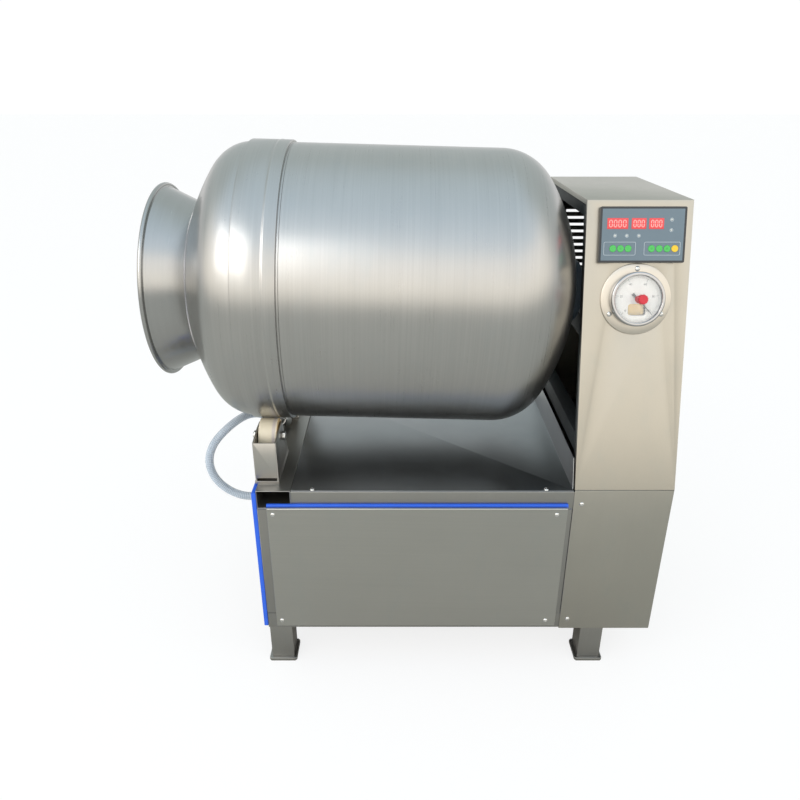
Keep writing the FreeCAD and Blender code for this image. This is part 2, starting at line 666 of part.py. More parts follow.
def column_lower_cover():
    """Lower housing: front and right side, one bend, from the frame's bottom to the fold."""
    outer = box(BASE_WIDTH, COLUMN_RIGHT, -SHEET, BASE_DEPTH, BASE_BOTTOM - SHEET, FOLD_Z)
    bend = [e for e in outer.Edges if abs(e.tangentAt(e.FirstParameter).z) > 0.9
            and e.CenterOfMass.x > COLUMN_RIGHT - 1 and e.CenterOfMass.y < 0]
    outer = outer.makeFillet(3.0, bend)
    return outer.cut(box(BASE_WIDTH - 1, COLUMN_RIGHT - SHEET, 0, BASE_DEPTH + 1,
                         BASE_BOTTOM - 5, FOLD_Z + 1))


def column_back_cover():
    """Flat cover behind the column, with slots for the drive's air and the cable gland's hole."""
    cover = box(BASE_WIDTH, COLUMN_RIGHT, BASE_DEPTH, BASE_DEPTH + SHEET, BASE_BOTTOM, COLUMN_TOP)
    middle = (BASE_WIDTH + COLUMN_RIGHT) / 2
    reach = COLUMN_WIDTH * 0.28
    for i in range(VENT_COUNT):
        z = COLUMN_TOP - VENT_BELOW_TOP + i * VENT_PITCH
        cover = cover.cut(box(middle - reach, middle + reach, BASE_DEPTH - 1,
                              BASE_DEPTH + 5, z, z + VENT_SLOT))
    return cover.cut(rod(GLAND_BORE + 2.0, (middle, BASE_DEPTH - 1, GLAND_Z),
                         (middle, BASE_DEPTH + 5, GLAND_Z)))


def column_frame():
    """Uprights and cross rails inside the column; the front pair follows the leaning sheet."""
    left0 = BASE_WIDTH + SHEET + FRAME_GAP
    right0 = COLUMN_RIGHT - SHEET - FRAME_GAP - COLUMN_TUBE
    foot = DECK_HEIGHT - DECK_SHEET
    top = COLUMN_TOP - SHEET - FRAME_GAP
    back0 = BASE_DEPTH - COLUMN_TUBE
    margin = SHEET + FRAME_GAP
    tubes = []
    for x0 in (left0, right0):
        x1 = x0 + COLUMN_TUBE
        outer = leaning_bar(x0, x1, margin, COLUMN_TUBE, foot, top)
        inner = leaning_bar(x0 + TUBE_WALL, x1 - TUBE_WALL, margin + TUBE_WALL,
                            COLUMN_TUBE - 2 * TUBE_WALL, foot - 1, top + 1)
        tubes.append(outer.cut(inner))
        tubes.append(square_tube(x0, x1, back0, BASE_DEPTH, foot, top, "z"))
        top_front = leaning_y(top - COLUMN_TUBE, margin + COLUMN_TUBE)
        rail = square_tube(x0, x1, top_front, back0, top - COLUMN_TUBE, top, "y")
        tubes.append(rail.cut(leaning_bar(x0 - 1, x1 + 1, margin, COLUMN_TUBE, foot, top + 1)))
    rail_z = DECK_HEIGHT + SIDE_RAIL_ABOVE_DECK
    rail = square_tube(left0, left0 + COLUMN_TUBE, leaning_y(rail_z, margin + COLUMN_TUBE), back0,
                       rail_z, rail_z + SIDE_RAIL_HEIGHT, "y")
    tubes.append(rail.cut(leaning_bar(left0 - 1, left0 + COLUMN_TUBE + 1, margin, COLUMN_TUBE,
                                      foot, top + 1)))
    return group(tubes)


def leaning_y(z, inward):
    """Y of the leaning front at height z, moved inward square to the sheet."""
    return (z - FOLD_Z) * math.tan(LEAN_RAD) + inward / math.cos(LEAN_RAD)


def leaning_bar(x0, x1, inward, depth, z0, z1):
    """Bar parallel to the leaning sheet, with level ends."""
    points = [(x0, leaning_y(z0, inward), z0), (x0, leaning_y(z1, inward), z1),
              (x0, leaning_y(z1, inward + depth), z1), (x0, leaning_y(z0, inward + depth), z0)]
    return prism(points, (x1 - x0, 0, 0))


def bearing_seat(a):
    """Height of a pillow block's foot: the shaft's centre at that place less the block's height."""
    return tilted_point(a).z - BEARING_CENTRE


def bearing_support():
    """Two rails along Y under the pillow blocks, on two cross beams between the uprights."""
    solids = []
    for a in (BEARING_1, BEARING_2):
        x = tilted_point(a).x
        top = bearing_seat(a)
        bottom = bearing_seat(BEARING_2) - BEARING_RAIL_HEIGHT
        front = leaning_y(top, SHEET + FRAME_GAP) + FRAME_GAP
        solids.append(square_tube(x - BEARING_RAIL_WIDTH / 2, x + BEARING_RAIL_WIDTH / 2,
                                  front, BASE_DEPTH - FRAME_GAP, bottom, top, "y", 3.0))
    left1 = BASE_WIDTH + SHEET + FRAME_GAP + COLUMN_TUBE
    right0 = COLUMN_RIGHT - SHEET - FRAME_GAP - COLUMN_TUBE
    z1 = bearing_seat(BEARING_2) - BEARING_RAIL_HEIGHT
    z0 = z1 - COLUMN_TUBE
    front0 = leaning_y(z1, SHEET + FRAME_GAP)
    for y0 in (front0, BASE_DEPTH - COLUMN_TUBE):
        solids.append(square_tube(left1, right0, y0, y0 + COLUMN_TUBE, z0, z1, "x"))
    return group(solids)


# ================================================================ bearings and drive
def pillow_blocks():
    """Two cast housings with a round seat in which the crowned insert takes the shaft's tilt."""
    blocks = []
    for a in (BEARING_1, BEARING_2):
        centre = tilted_point(a)
        foot_z = bearing_seat(a)
        half = BEARING_WIDTH / 2
        sole = BEARING_FOOT_WIDTH / 2
        foot = box(centre.x - sole, centre.x + sole, AXIS_Y - BEARING_FOOT / 2,
                   AXIS_Y + BEARING_FOOT / 2, foot_z, foot_z + BEARING_FOOT_THICK)
        ends = [e for e in foot.Edges if abs(e.tangentAt(e.FirstParameter).z) > 0.9]
        foot = foot.makeFillet(12.0, ends)
        outer = BEARING_INSERT + BEARING_WALL
        ring = rod(outer, (centre.x - half, AXIS_Y, centre.z), (centre.x + half, AXIS_Y, centre.z))
        neck = box(centre.x - half, centre.x + half, AXIS_Y - outer, AXIS_Y + outer, foot_z, centre.z)
        block = fused([foot, neck, ring])
        block = block.cut(box(centre.x - outer, centre.x + outer, AXIS_Y - BEARING_FOOT,
                              AXIS_Y + BEARING_FOOT, foot_z - outer, foot_z))
        block = block.cut(rod(BEARING_INSERT, (centre.x - BEARING_WIDTH, AXIS_Y, centre.z),
                              (centre.x + BEARING_WIDTH, AXIS_Y, centre.z)))
        for side in (-1, 1):
            y = AXIS_Y + side * BEARING_BOLT_SPAN / 2
            block = block.cut(rod(BEARING_BOLT_HOLE, (centre.x, y, foot_z - 1),
                                  (centre.x, y, foot_z + BEARING_FOOT_THICK + 1)))
        blocks.append(block)
    return group(blocks + bearing_inserts())


def bearing_inserts():
    """The bearings' inserts, crowned outside, that guide the shaft."""
    rings = []
    bore = SHAFT_RADIUS + RUNNING_GAP
    half = INSERT_WIDTH / 2
    middle = BEARING_INSERT - INSERT_GAP
    for a in (BEARING_1, BEARING_2):
        rings.append(tilted(turned([(a - half, bore), (a - half, middle - INSERT_CROWN), (a, middle),
                                    (a + half, middle - INSERT_CROWN), (a + half, bore)])))
    return rings


def frame_bolts():
    """Hexagon bolts of the pillow blocks."""
    bolts = []
    for a in (BEARING_1, BEARING_2):
        x = tilted_point(a).x
        for side in (-1, 1):
            seat = (x, AXIS_Y + side * BEARING_BOLT_SPAN / 2, bearing_seat(a) + BEARING_FOOT_THICK)
            bolts.append(hex_bolt(seat, (0, 0, 1), BOLT_ACROSS, BOLT_HEAD, BOLT_WASHER))
    return group(bolts)


def belt_half(depth):
    """Half the belt's width at a depth under its top."""
    return BELT_TOP / 2 - depth * math.tan(math.radians(BELT_ANGLE / 2))


def belt_places():
    """Middles of the belts along the drum's axis."""
    return [PULLEY_AT + (i - (BELT_COUNT - 1) / 2) * BELT_PITCH for i in range(BELT_COUNT)]


def grooved_pulley(radius, z):
    """Rim with a V groove for each belt, a web, and a hub as wide as the rim."""
    wide = BELT_GAP / math.cos(math.radians(BELT_ANGLE / 2))
    bottom = radius + BELT_PROUD - BELT_HEIGHT - GROOVE_CLEAR
    top = belt_half(BELT_PROUD) + wide
    low = belt_half(BELT_HEIGHT + GROOVE_CLEAR) + wide
    half = (BELT_COUNT - 1) * BELT_PITCH / 2 + top + PULLEY_EDGE
    a0, a1 = PULLEY_AT - half, PULLEY_AT + half
    outline = [(a0, 0.0), (a0, radius)]
    for a in belt_places():
        outline += [(a - top, radius), (a - low, bottom), (a + low, bottom), (a + top, radius)]
    outline += [(a1, radius), (a1, 0.0)]
    pulley = turned(outline)
    rim = bottom - PULLEY_RIM
    if rim - PULLEY_HUB > 2 * PULLEY_HOLE:
        for side in (-1, 1):
            web = PULLEY_AT + side * PULLEY_WEB / 2
            far = PULLEY_AT + side * (half + 1)
            recess = rod(rim, (web, 0, 0), (far, 0, 0)).cut(rod(PULLEY_HUB, (web, 0, 0), (far, 0, 0)))
            pulley = pulley.cut(recess)
        spots = (rim + PULLEY_HUB) / 2
        for i in range(PULLEY_HOLES):
            angle = 2 * math.pi * i / PULLEY_HOLES
            y, w = spots * math.cos(angle), spots * math.sin(angle)
            pulley = pulley.cut(rod(PULLEY_HOLE, (a0, y, w), (a1, y, w)))
    pulley.translate(V(0, 0, z))
    return pulley


def drum_pulley():
    """Large pulley on the drum's shaft."""
    bore = rod(SHAFT_RADIUS, (PULLEY_AT - 60, 0, 0), (PULLEY_AT + 60, 0, 0))
    return tilted(grooved_pulley(DRUM_PULLEY, 0.0).cut(bore))


def motor_pulley():
    """Small pulley on the gearmotor's output shaft, one turning piece."""
    z = gearbox_z()
    shaft = rod(OUTPUT_RADIUS, (gearbox_face() - OUTPUT_DEPTH, 0, z), (PULLEY_AT + OUTPUT_PAST, 0, z))
    return tilted(fused([grooved_pulley(MOTOR_PULLEY, z), shaft]))


def belt_section(a, radius, turn, z):
    """The belt's section on a pulley: turn is the angle from +Y round the drum's axis."""
    low = radius - BELT_HEIGHT
    corners = [V(a - belt_half(0), radius, 0), V(a + belt_half(0), radius, 0),
               V(a + belt_half(BELT_HEIGHT), low, 0), V(a - belt_half(BELT_HEIGHT), low, 0)]
    face = Part.Face(Part.makePolygon(corners + corners[:1]))
    face.rotate(V(0, 0, 0), V(1, 0, 0), turn)
    face.translate(V(0, 0, z))
    return face


def drive_belts():
    """V-belts round both pulleys: two arcs and two straight strands each."""
    big, small = DRUM_PULLEY + BELT_PROUD, MOTOR_PULLEY + BELT_PROUD
    low = gearbox_z()
    lean = math.degrees(math.asin((big - small) / SHAFT_CENTRES))
    belts = []
    for a in belt_places():
        pieces = [belt_section(a, big, -lean, 0).revolve(V(0, 0, 0), V(1, 0, 0), 180 + 2 * lean),
                  belt_section(a, small, 180 + lean, low).revolve(V(0, 0, low), V(1, 0, 0),
                                                                 180 - 2 * lean)]
        for turn in (-lean, 180 + lean):
            angle = math.radians(turn)
            normal = V(0, math.cos(angle), math.sin(angle))
            strand = V(0, 0, low) + normal * small - normal * big
            pieces.append(belt_section(a, big, turn, 0).extrude(strand))
        belts.append(tilted(fused(pieces)))
    return group(belts)


def gearbox_z():
    """Height of the gearmotor's axis in the drum frame."""
    return -SHAFT_CENTRES


def gearbox_face():
    """Where the output shaft leaves the gearbox, along the drum's axis."""
    return PULLEY_AT - GEARBOX_SETBACK


def gearbox():
    """Helical gearbox: rounded cast housing, input flange, output boss, ribs and feet."""
    z = gearbox_z()
    x1 = gearbox_face()
    x0 = x1 - GEARBOX_LENGTH
    half = GEARBOX_WIDTH / 2
    belly = rod(half - 8, (x0 + 12, 0, z), (x1 - 10, 0, z))
    boss = Part.makeCone(half - 22, 30.0, 22.0, V(x1 - 12, 0, z), V(1, 0, 0))
    flange = rod(MOTOR_RADIUS + 8, (x0, 0, z), (x0 + 12, 0, z))
    pieces = [belly, boss, flange]
    for i in range(8):
        angle = math.pi * (0.08 + 0.12 * i)
        y, w = math.cos(angle) * (half - 3), math.sin(angle) * (half - 3)
        rib = box(x0 + 10, x1 - 14, -2, 2, 0, half - 3)
        rib.rotate(V(0, 0, 0), V(1, 0, 0), math.degrees(math.atan2(-y, w)))
        rib.translate(V(0, 0, z))
        pieces.append(rib)
    feet_z = gearbox_foot()
    for side in (-1, 1):
        pieces.append(box(x0 + 20, x1 - 20, side * half - 12, side * half + 12, feet_z, feet_z + 12))
        pieces.append(box(x0 + 28, x1 - 28, min(side * (half - 24), side * half),
                          max(side * (half - 24), side * half), feet_z, z))
    body = fused(pieces)
    return tilted(body.cut(rod(OUTPUT_RADIUS + RUNNING_GAP, (x1 - 35, 0, z), (x1 + 40, 0, z))))


def gearbox_foot():
    """Underside of the gearbox feet in the drum frame."""
    return gearbox_z() - GEARBOX_WIDTH / 2 + 8 - GEARBOX_FLOOR_GAP


def drive_motor():
    """Motor of the gearbox: finned barrel, fan cover with its grille slots, and terminal box."""
    z = gearbox_z()
    x1 = gearbox_face() - GEARBOX_LENGTH
    x0 = x1 - MOTOR_LENGTH
    barrel = rod(MOTOR_RADIUS - 6, (x0, 0, z), (x1, 0, z))
    fins = []
    for i in range(MOTOR_FINS):
        fin = box(x0 + 8, x1 - 8, -1.4, 1.4, 0, MOTOR_RADIUS)
        fin.rotate(V(0, 0, 0), V(1, 0, 0), 360.0 * i / MOTOR_FINS)
        fin.translate(V(0, 0, z))
        fins.append(fin)
    terminal = box(x0 + 60, x0 + 140, -42, 42, z + MOTOR_RADIUS - 8, z + MOTOR_RADIUS + 34)
    body = fused([barrel] + fins + [terminal])
    cover = turned([(x0 - FAN_COVER_LENGTH, 0.0), (x0 - FAN_COVER_LENGTH, MOTOR_RADIUS - 12),
                    (x0 - FAN_COVER_LENGTH + 10, MOTOR_RADIUS - 1), (x0, MOTOR_RADIUS - 1), (x0, 0.0)])
    cover.translate(V(0, 0, z))
    for i in range(-3, 4):
        length = math.sqrt(44.0 ** 2 - (i * 11.0) ** 2)
        cover = cover.cut(box(x0 - FAN_COVER_LENGTH - 1, x0 - FAN_COVER_LENGTH + 6,
                              -length, length, z + i * 11.0 - 2.5, z + i * 11.0 + 2.5))
    return tilted(group([body, cover]))


def motor_stand():
    """Two bearers between the tray and the tilted gearbox feet, each cut level underneath."""
    x1 = gearbox_face()
    bearers = []
    for side in (-1, 1):
        middle = side * GEARBOX_WIDTH / 2
        bar = tilted(box(x1 - GEARBOX_LENGTH + 10, x1 - 10, middle - 16, middle + 16,
                         gearbox_foot() - 80, gearbox_foot()))
        below = box(0, COLUMN_RIGHT, 0, BASE_DEPTH, -50, TRAY_TOP)
        bearers.append(bar.cut(below))
    return bearers


# ================================================================ drum
def front_outline():
    """The front head's outer and inner knuckle and crown, as points where the arcs meet."""
    turn = math.radians(FRONT_KNUCKLE_TURN)
    centre = V(BARREL_FRONT, 0, DRUM_RADIUS - FRONT_KNUCKLE)
    out = V(-math.sin(turn), 0, math.cos(turn))
    crown_centre = centre + out * (FRONT_KNUCKLE - FRONT_CROWN)
    return centre, out, crown_centre


def on_crown(centre, radius, r):
    """Point at distance r from the axis on a crown arc that bulges towards -X."""
    return V(centre.x - math.sqrt(radius ** 2 - (r - centre.z) ** 2), 0, r)


def front_head(behind):
    """The front head in the drum frame, as far back as a place along the axis."""
    centre, out, crown_centre = front_outline()
    half_turn = math.radians(FRONT_KNUCKLE_TURN / 2)
    middle = V(-math.sin(half_turn), 0, math.cos(half_turn))
    edges = []
    rims = []
    for inset in (0.0, DRUM_WALL):
        k, c = FRONT_KNUCKLE - inset, FRONT_CROWN - inset
        start = centre + V(0, 0, k)
        join = centre + out * k
        end = on_crown(crown_centre, c, NECK_RADIUS - inset)
        mid_crown = on_crown(crown_centre, c, (join.z + end.z) / 2)
        edges.append([Part.Arc(start, centre + middle * k, join).toShape(),
                      Part.Arc(join, mid_crown, end).toShape()])
        rims.append((start, end))
    wall = (edges[0] + [Part.makeLine(rims[0][1], rims[1][1])] + edges[1]
            + [Part.makeLine(rims[1][0], rims[0][0])])
    head = turned(Part.__sortEdges__(wall))
    if behind >= BARREL_FRONT:
        return head
    keep = rod(2 * DRUM_RADIUS, (neck_at() - FLARE_LENGTH, 0, 0), (behind, 0, 0))
    return head.common(keep)


def front_dome():
    """Front head: knuckle and crown arcs, cut out round the neck."""
    return tilted(front_head(BARREL_FRONT))


def neck_at():
    """Where the flare leaves the front head, along the axis."""
    return on_crown(front_outline()[2], FRONT_CROWN, NECK_RADIUS).x


def rear_geometry(inset):
    """Points of the rear head: barrel edge, knuckle joint, crown top, and the two arc centres."""
    k, c = REAR_KNUCKLE - inset, REAR_CROWN - inset
    knuckle = V(BARREL_REAR, 0, DRUM_RADIUS - REAR_KNUCKLE)
    reach = REAR_CROWN - REAR_KNUCKLE
    crown_x = BARREL_REAR - math.sqrt(reach ** 2 - knuckle.z ** 2)
    crown = V(crown_x, 0, 0)
    unit = (knuckle - crown).normalize()
    return knuckle + V(0, 0, k), knuckle + unit * k, crown + V(c, 0, 0), knuckle, crown, k, c


def rear_dome():
    """Rear head: a dished end closed on the axis."""
    loops = []
    for inset in (0.0, DRUM_WALL):
        edge, joint, top, knuckle, crown, k, c = rear_geometry(inset)
        between = ((edge - knuckle).normalize() + (joint - knuckle).normalize()).normalize()
        mid = knuckle + between * k
        angle = math.atan2(joint.z, joint.x - crown.x) / 2
        crown_mid = crown + V(c * math.cos(angle), 0, c * math.sin(angle))
        loops.append(([Part.Arc(edge, mid, joint).toShape(), Part.Arc(joint, crown_mid, top).toShape()],
                      edge, top))
    wall = (loops[0][0] + [Part.makeLine(loops[0][2], loops[1][2])] + loops[1][0]
            + [Part.makeLine(loops[1][1], loops[0][1])])
    wire = Part.Wire(Part.__sortEdges__(wall))
    return tilted(Part.Face(wire).revolve(V(0, 0, 0), V(1, 0, 0), 360))


def drum_barrel():
    """Rolled barrel with a shallow weld groove beside the track band."""
    r, inner = DRUM_RADIUS, DRUM_RADIUS - DRUM_WALL
    g0 = BAND_REAR + 0.01
    g1 = g0 + BAND_GROOVE
    deep = r - BAND_GROOVE_DEPTH
    return tilted(turned([(BARREL_FRONT, inner), (BARREL_FRONT, r), (g0, r), (g0, deep), (g1, deep),
                          (g1, r), (BARREL_REAR, r), (BARREL_REAR, inner)]))


def track_band():
    """Raised band that the front rollers carry, with eased edges."""
    r0, r1 = DRUM_RADIUS, TRACK_RADIUS
    ease = BAND_THICK * 0.5
    return tilted(turned([(BARREL_FRONT, r0), (BARREL_FRONT, r1 - ease), (BARREL_FRONT + ease, r1),
                          (BAND_REAR - ease, r1), (BAND_REAR, r1 - ease), (BAND_REAR, r0)]))


def flare_radius(a):
    """Inside radius of the flared mouth at a place along the axis."""
    slope = (RIM_RADIUS - NECK_RADIUS) / FLARE_LENGTH
    return NECK_RADIUS - DRUM_WALL + (neck_at() - a) * slope


def mouth_flare():
    """Flared mouth: a cone from the neck to the rim, with a rolled lip round the rim."""
    neck, rim = neck_at(), neck_at() - FLARE_LENGTH
    slope = (RIM_RADIUS - NECK_RADIUS) / FLARE_LENGTH
    inside = NECK_RADIUS - DRUM_WALL
    inner_neck = on_crown(front_outline()[2], FRONT_CROWN - DRUM_WALL, inside).x
    cone = turned([(neck, NECK_RADIUS), (rim, RIM_RADIUS), (rim, RIM_RADIUS - DRUM_WALL),
                   (inner_neck, inside - (inner_neck - neck) * slope)])
    head = front_head(neck + FLARE_LENGTH)
    centre = RIM_RADIUS + LIP_BEAD * LIP_OUT
    corners = [2 * math.pi * (i + 0.5) / LIP_SIDES for i in range(LIP_SIDES)]
    bead = turned([(rim + LIP_BEAD * math.cos(t), centre + LIP_BEAD * math.sin(t)) for t in corners])
    mouth = rod(RIM_RADIUS - DRUM_WALL, (rim - 2 * LIP_BEAD, 0, 0), (rim, 0, 0))
    return tilted(cone.cut(head).fuse(bead).cut(mouth))


# The lid's place, worked out from the flare that it seats in.
LID_FACE = neck_at() - LID_AHEAD
LID_RADIUS = flare_radius(LID_FACE + LID_THICK) - LID_SEAL_WALL


def drum_flights():
    """Lifting flights: folded strips on the barrel's inside, each skewed a little to the axis."""
    inner = DRUM_RADIUS - DRUM_WALL
    front, rear = BARREL_FRONT + FLIGHT_INSET, BARREL_REAR - FLIGHT_INSET
    middle = (front + rear) / 2
    bore = rod(inner, (front - FLIGHT_INSET, 0, 0), (rear + FLIGHT_INSET, 0, 0))
    root = inner - FLIGHT_HEIGHT
    half = FLIGHT_SHEET / 2
    flights = []
    for i in range(FLIGHT_COUNT):
        web = box(front, rear, -half, half, root, DRUM_RADIUS)
        lip = box(front, rear, -half, FLIGHT_LIP, root, root + FLIGHT_SHEET)
        blade = fused([web, lip])
        blade.rotate(V(middle, 0, 0), V(0, 0, 1), FLIGHT_SKEW)
        blade.rotate(V(0, 0, 0), V(1, 0, 0), 360.0 * i / FLIGHT_COUNT)
        flights.append(tilted(blade.common(bore)))
    return group(flights)


def rear_hub():
    """Hub plate and boss welded to the rear head, with gussets between them."""
    seat = REAR_APEX - HUB_SEAT
    plate_face = REAR_APEX + HUB_PLATE
    half = GUSSET_SHEET / 2
    pieces = [rod(HUB_RADIUS, (seat, 0, 0), (plate_face, 0, 0)),
              rod(HUB_BOSS, (seat, 0, 0), (HUB_END, 0, 0))]
    for i in range(HUB_GUSSETS):
        gusset = prism([(plate_face, -half, 0), (HUB_END - 3, -half, 0),
                        (HUB_END - 3, -half, HUB_BOSS + 2), (plate_face, -half, HUB_RADIUS - 4)],
                       (0, GUSSET_SHEET, 0))
        gusset.rotate(V(0, 0, 0), V(1, 0, 0), 360.0 * i / HUB_GUSSETS)
        pieces.append(gusset)
    crown = rear_geometry(0.0)[4]
    body = fused(pieces).cut(Part.makeSphere(REAR_CROWN, crown))
    return tilted(body.cut(rod(SHAFT_RADIUS, (REAR_APEX, 0, 0), (HUB_END + HUB_PLATE, 0, 0))))


def drum_shaft():
    """Drum shaft with the bearings' locking collars and the end chamfer."""
    end = BEARING_2 + BEARING_WIDTH / 2 + COLLAR_WIDTH + SHAFT_EASE
    shaft = turned([(REAR_APEX, 0.0), (REAR_APEX, SHAFT_RADIUS), (end - SHAFT_EASE, SHAFT_RADIUS),
                    (end, SHAFT_RADIUS - SHAFT_EASE), (end, 0.0)])
    collars = []
    for a, side in ((BEARING_1, 1), (BEARING_2, 1)):
        face = a + side * (INSERT_WIDTH / 2 + COLLAR_GAP)
        ring = rod(COLLAR_RADIUS, (face, 0, 0), (face + side * COLLAR_WIDTH, 0, 0))
        collars.append(ring.cut(rod(SHAFT_RADIUS, (face - 20, 0, 0), (face + 20, 0, 0))))
    return tilted(group([shaft] + collars))


# ================================================================ rollers
def roller_centre(side):
    """Roller centre in the drum frame; side is -1 in front of the axis and +1 behind."""
    return V(ROLLER_AT, side * ROLLER_SPAN, -ROLLER_BELOW)


def roller(side):
    """Nylon roller with a recessed hub on each side."""
    half = ROLLER_WIDTH / 2
    bore = AXLE_RADIUS + RUNNING_GAP
    rim = ROLLER_RADIUS
    body = turned([(-half, rim - 3), (-half + 2.5, rim), (half - 2.5, rim), (half, rim - 3),
                   (half, rim - 9), (half - 7, rim - 11), (half - 7, bore + 7), (half - 1, bore + 5),
                   (half - 1, bore), (-half + 1, bore), (-half + 1, bore + 5), (-half + 7, bore + 7),
                   (-half + 7, rim - 11), (-half, rim - 9)])
    body.translate(roller_centre(side))
    return tilted(body)


def roller_bracket(side):
    """Welded roller bracket: foot, two tapering cheeks and an outer plate over an open slot."""
    centre = tilted_point(*roller_centre(side))
    half = ROLLER_WIDTH / 2 + BRACKET_SIDE_GAP + BRACKET_SHEET
    x0, x1 = centre.x - half, centre.x + half
    out = side * BRACKET_FRONT          # towards the machine's outside
    back = -side * BRACKET_BACK
    y_out, y_back = centre.y + out, centre.y + back
    z0 = DECK_HEIGHT
    foot = box(x0 - 1, x1 + 1, min(y_out + side * 2, y_back), max(y_out + side * 2, y_back),
               z0, z0 + BRACKET_FOOT)
    pieces = [foot]
    for xc in (x0, x1 - BRACKET_SHEET):
        cheek = [(xc, y_out, z0 + BRACKET_FOOT), (xc, y_out, z0 + BRACKET_PLATE_TOP),
                 (xc, centre.y + side * 16, z0 + BRACKET_CHEEK_TOP),
                 (xc, centre.y - side * 14, z0 + BRACKET_CHEEK_TOP),
                 (xc, y_back, z0 + BRACKET_FOOT)]
        pieces.append(prism(cheek, (BRACKET_SHEET, 0, 0)))
    y_in = y_out - side * BRACKET_SHEET
    pieces.append(box(x0, x1, min(y_out, y_in), max(y_out, y_in),
                      z0 + BRACKET_FOOT + BRACKET_SLOT, z0 + BRACKET_PLATE_TOP))
    axle = roller_centre(side)
    hole = tilted(rod(AXLE_RADIUS + 0.3, (axle.x - 60, axle.y, axle.z), (axle.x + 60, axle.y, axle.z)))
    return fused(pieces).cut(hole)


def roller_axles():
    """Bolt, washers and nut through each bracket, two separate axles."""
    axles = []
    for side in (-1, 1):
        c = roller_centre(side)
        reach = ROLLER_WIDTH / 2 + BRACKET_SIDE_GAP + BRACKET_SHEET + 0.8
        shank = rod(AXLE_RADIUS, (c.x - reach - 11, c.y, c.z), (c.x + reach, c.y, c.z))
        head = regular_prism(6, AXLE_HEAD, (c.x + reach, c.y, c.z), (c.x + reach + AXLE_HEAD_THICK, c.y, c.z))
        nut = regular_prism(6, AXLE_HEAD, (c.x - reach - 9, c.y, c.z), (c.x - reach, c.y, c.z))
        axles.append(tilted(fused([shank, head, nut])))
    return group(axles)


# ================================================================ lid
def lid_disc():
    """Clear lid, bored for the vacuum port."""
    face = LID_FACE
    disc = rod(LID_RADIUS, (face, 0, 0), (face + LID_THICK, 0, 0))
    bore = rod(SWIVEL_SPIGOT + RUNNING_GAP, (face - 1, 0, 0), (face + LID_THICK + 1, 0, 0))
    return tilted(disc.cut(bore))


def lid_seal():
    """Rubber channel round the lid's edge, tapered to the flare."""
    a0, a1 = LID_FACE - SEAL_LIP, LID_FACE + LID_THICK + SEAL_LIP
    inner = LID_RADIUS - LID_SEAL_OVERLAP
    ring = turned([(a0, inner), (a0, flare_radius(a0) - LID_SEAL_GAP),
                   (a1, flare_radius(a1) - LID_SEAL_GAP), (a1, inner)])
    return tilted(ring.cut(rod(LID_RADIUS, (LID_FACE, 0, 0), (LID_FACE + LID_THICK, 0, 0))))


def lid_fittings():
    """Two bent-rod handles and the port's flange on the lid's outside."""
    solids = []
    half = HANDLE_LENGTH / 2
    grip = LID_FACE - HANDLE_REACH
    for side in (-1, 1):
        z = side * HANDLE_AT
        path = [V(LID_FACE, -half, z), V(grip + HANDLE_BEND, -half, z), V(grip, -half + HANDLE_BEND, z),
                V(grip, half - HANDLE_BEND, z), V(grip + HANDLE_BEND, half, z), V(LID_FACE, half, z)]
        spine = Part.makePolygon(path)
        section = Part.Wire([Part.makeCircle(HANDLE_ROD, path[0], V(-1, 0, 0))])
        solids.append(tilted(spine.makePipeShell([section], True, False, 1)))
    flange = rod(PORT_RADIUS, (LID_FACE, 0, 0), (LID_FACE - PORT_THICK, 0, 0))
    bore = rod(SWIVEL_SPIGOT + RUNNING_GAP, (LID_FACE + 1, 0, 0), (LID_FACE - PORT_THICK - 1, 0, 0))
    solids.append(tilted(flange.cut(bore)))
    return group(solids)


def vacuum_swivel():
    """Swivelling vacuum port: spigot through the lid, body, and a barbed hose tail."""
    face = LID_FACE - PORT_THICK - 0.3
    end = face - SWIVEL_LENGTH
    body = turned([(LID_FACE + LID_THICK - 1, 0.0), (LID_FACE + LID_THICK - 1, SWIVEL_SPIGOT),
                   (face, SWIVEL_SPIGOT), (face, SWIVEL_RADIUS), (end + 4, SWIVEL_RADIUS),
                   (end, SWIVEL_RADIUS - 4), (end, 0.0)])
    core = SWIVEL_TAIL_RADIUS - BARB_DEPTH
    outline = [(0.0, 0.0), (core, 0.0)]
    for i in range(BARB_COUNT):
        z = -SWIVEL_RADIUS - BARB_PITCH * (i + 1)
        outline += [(core, z), (SWIVEL_TAIL_RADIUS, z), (core, z - BARB_PITCH * 0.85)]
    outline += [(core, -SWIVEL_TAIL), (0.0, -SWIVEL_TAIL)]
    corners = [V(r, 0, z) for r, z in outline]
    tail = Part.Face(Part.makePolygon(corners + corners[:1])).revolve(V(0, 0, 0), V(0, 0, 1), 360)
    tail.translate(V(face - SWIVEL_LENGTH / 2, 0, 0))
    return tilted(fused([body, tail]))


# ================================================================ control unit
def face_box(cx, cz, width, height, y0, y1):
    """Box on the upright face frame."""
    return box(cx - width / 2, cx + width / 2, y0, y1, cz - height / 2, cz + height / 2)


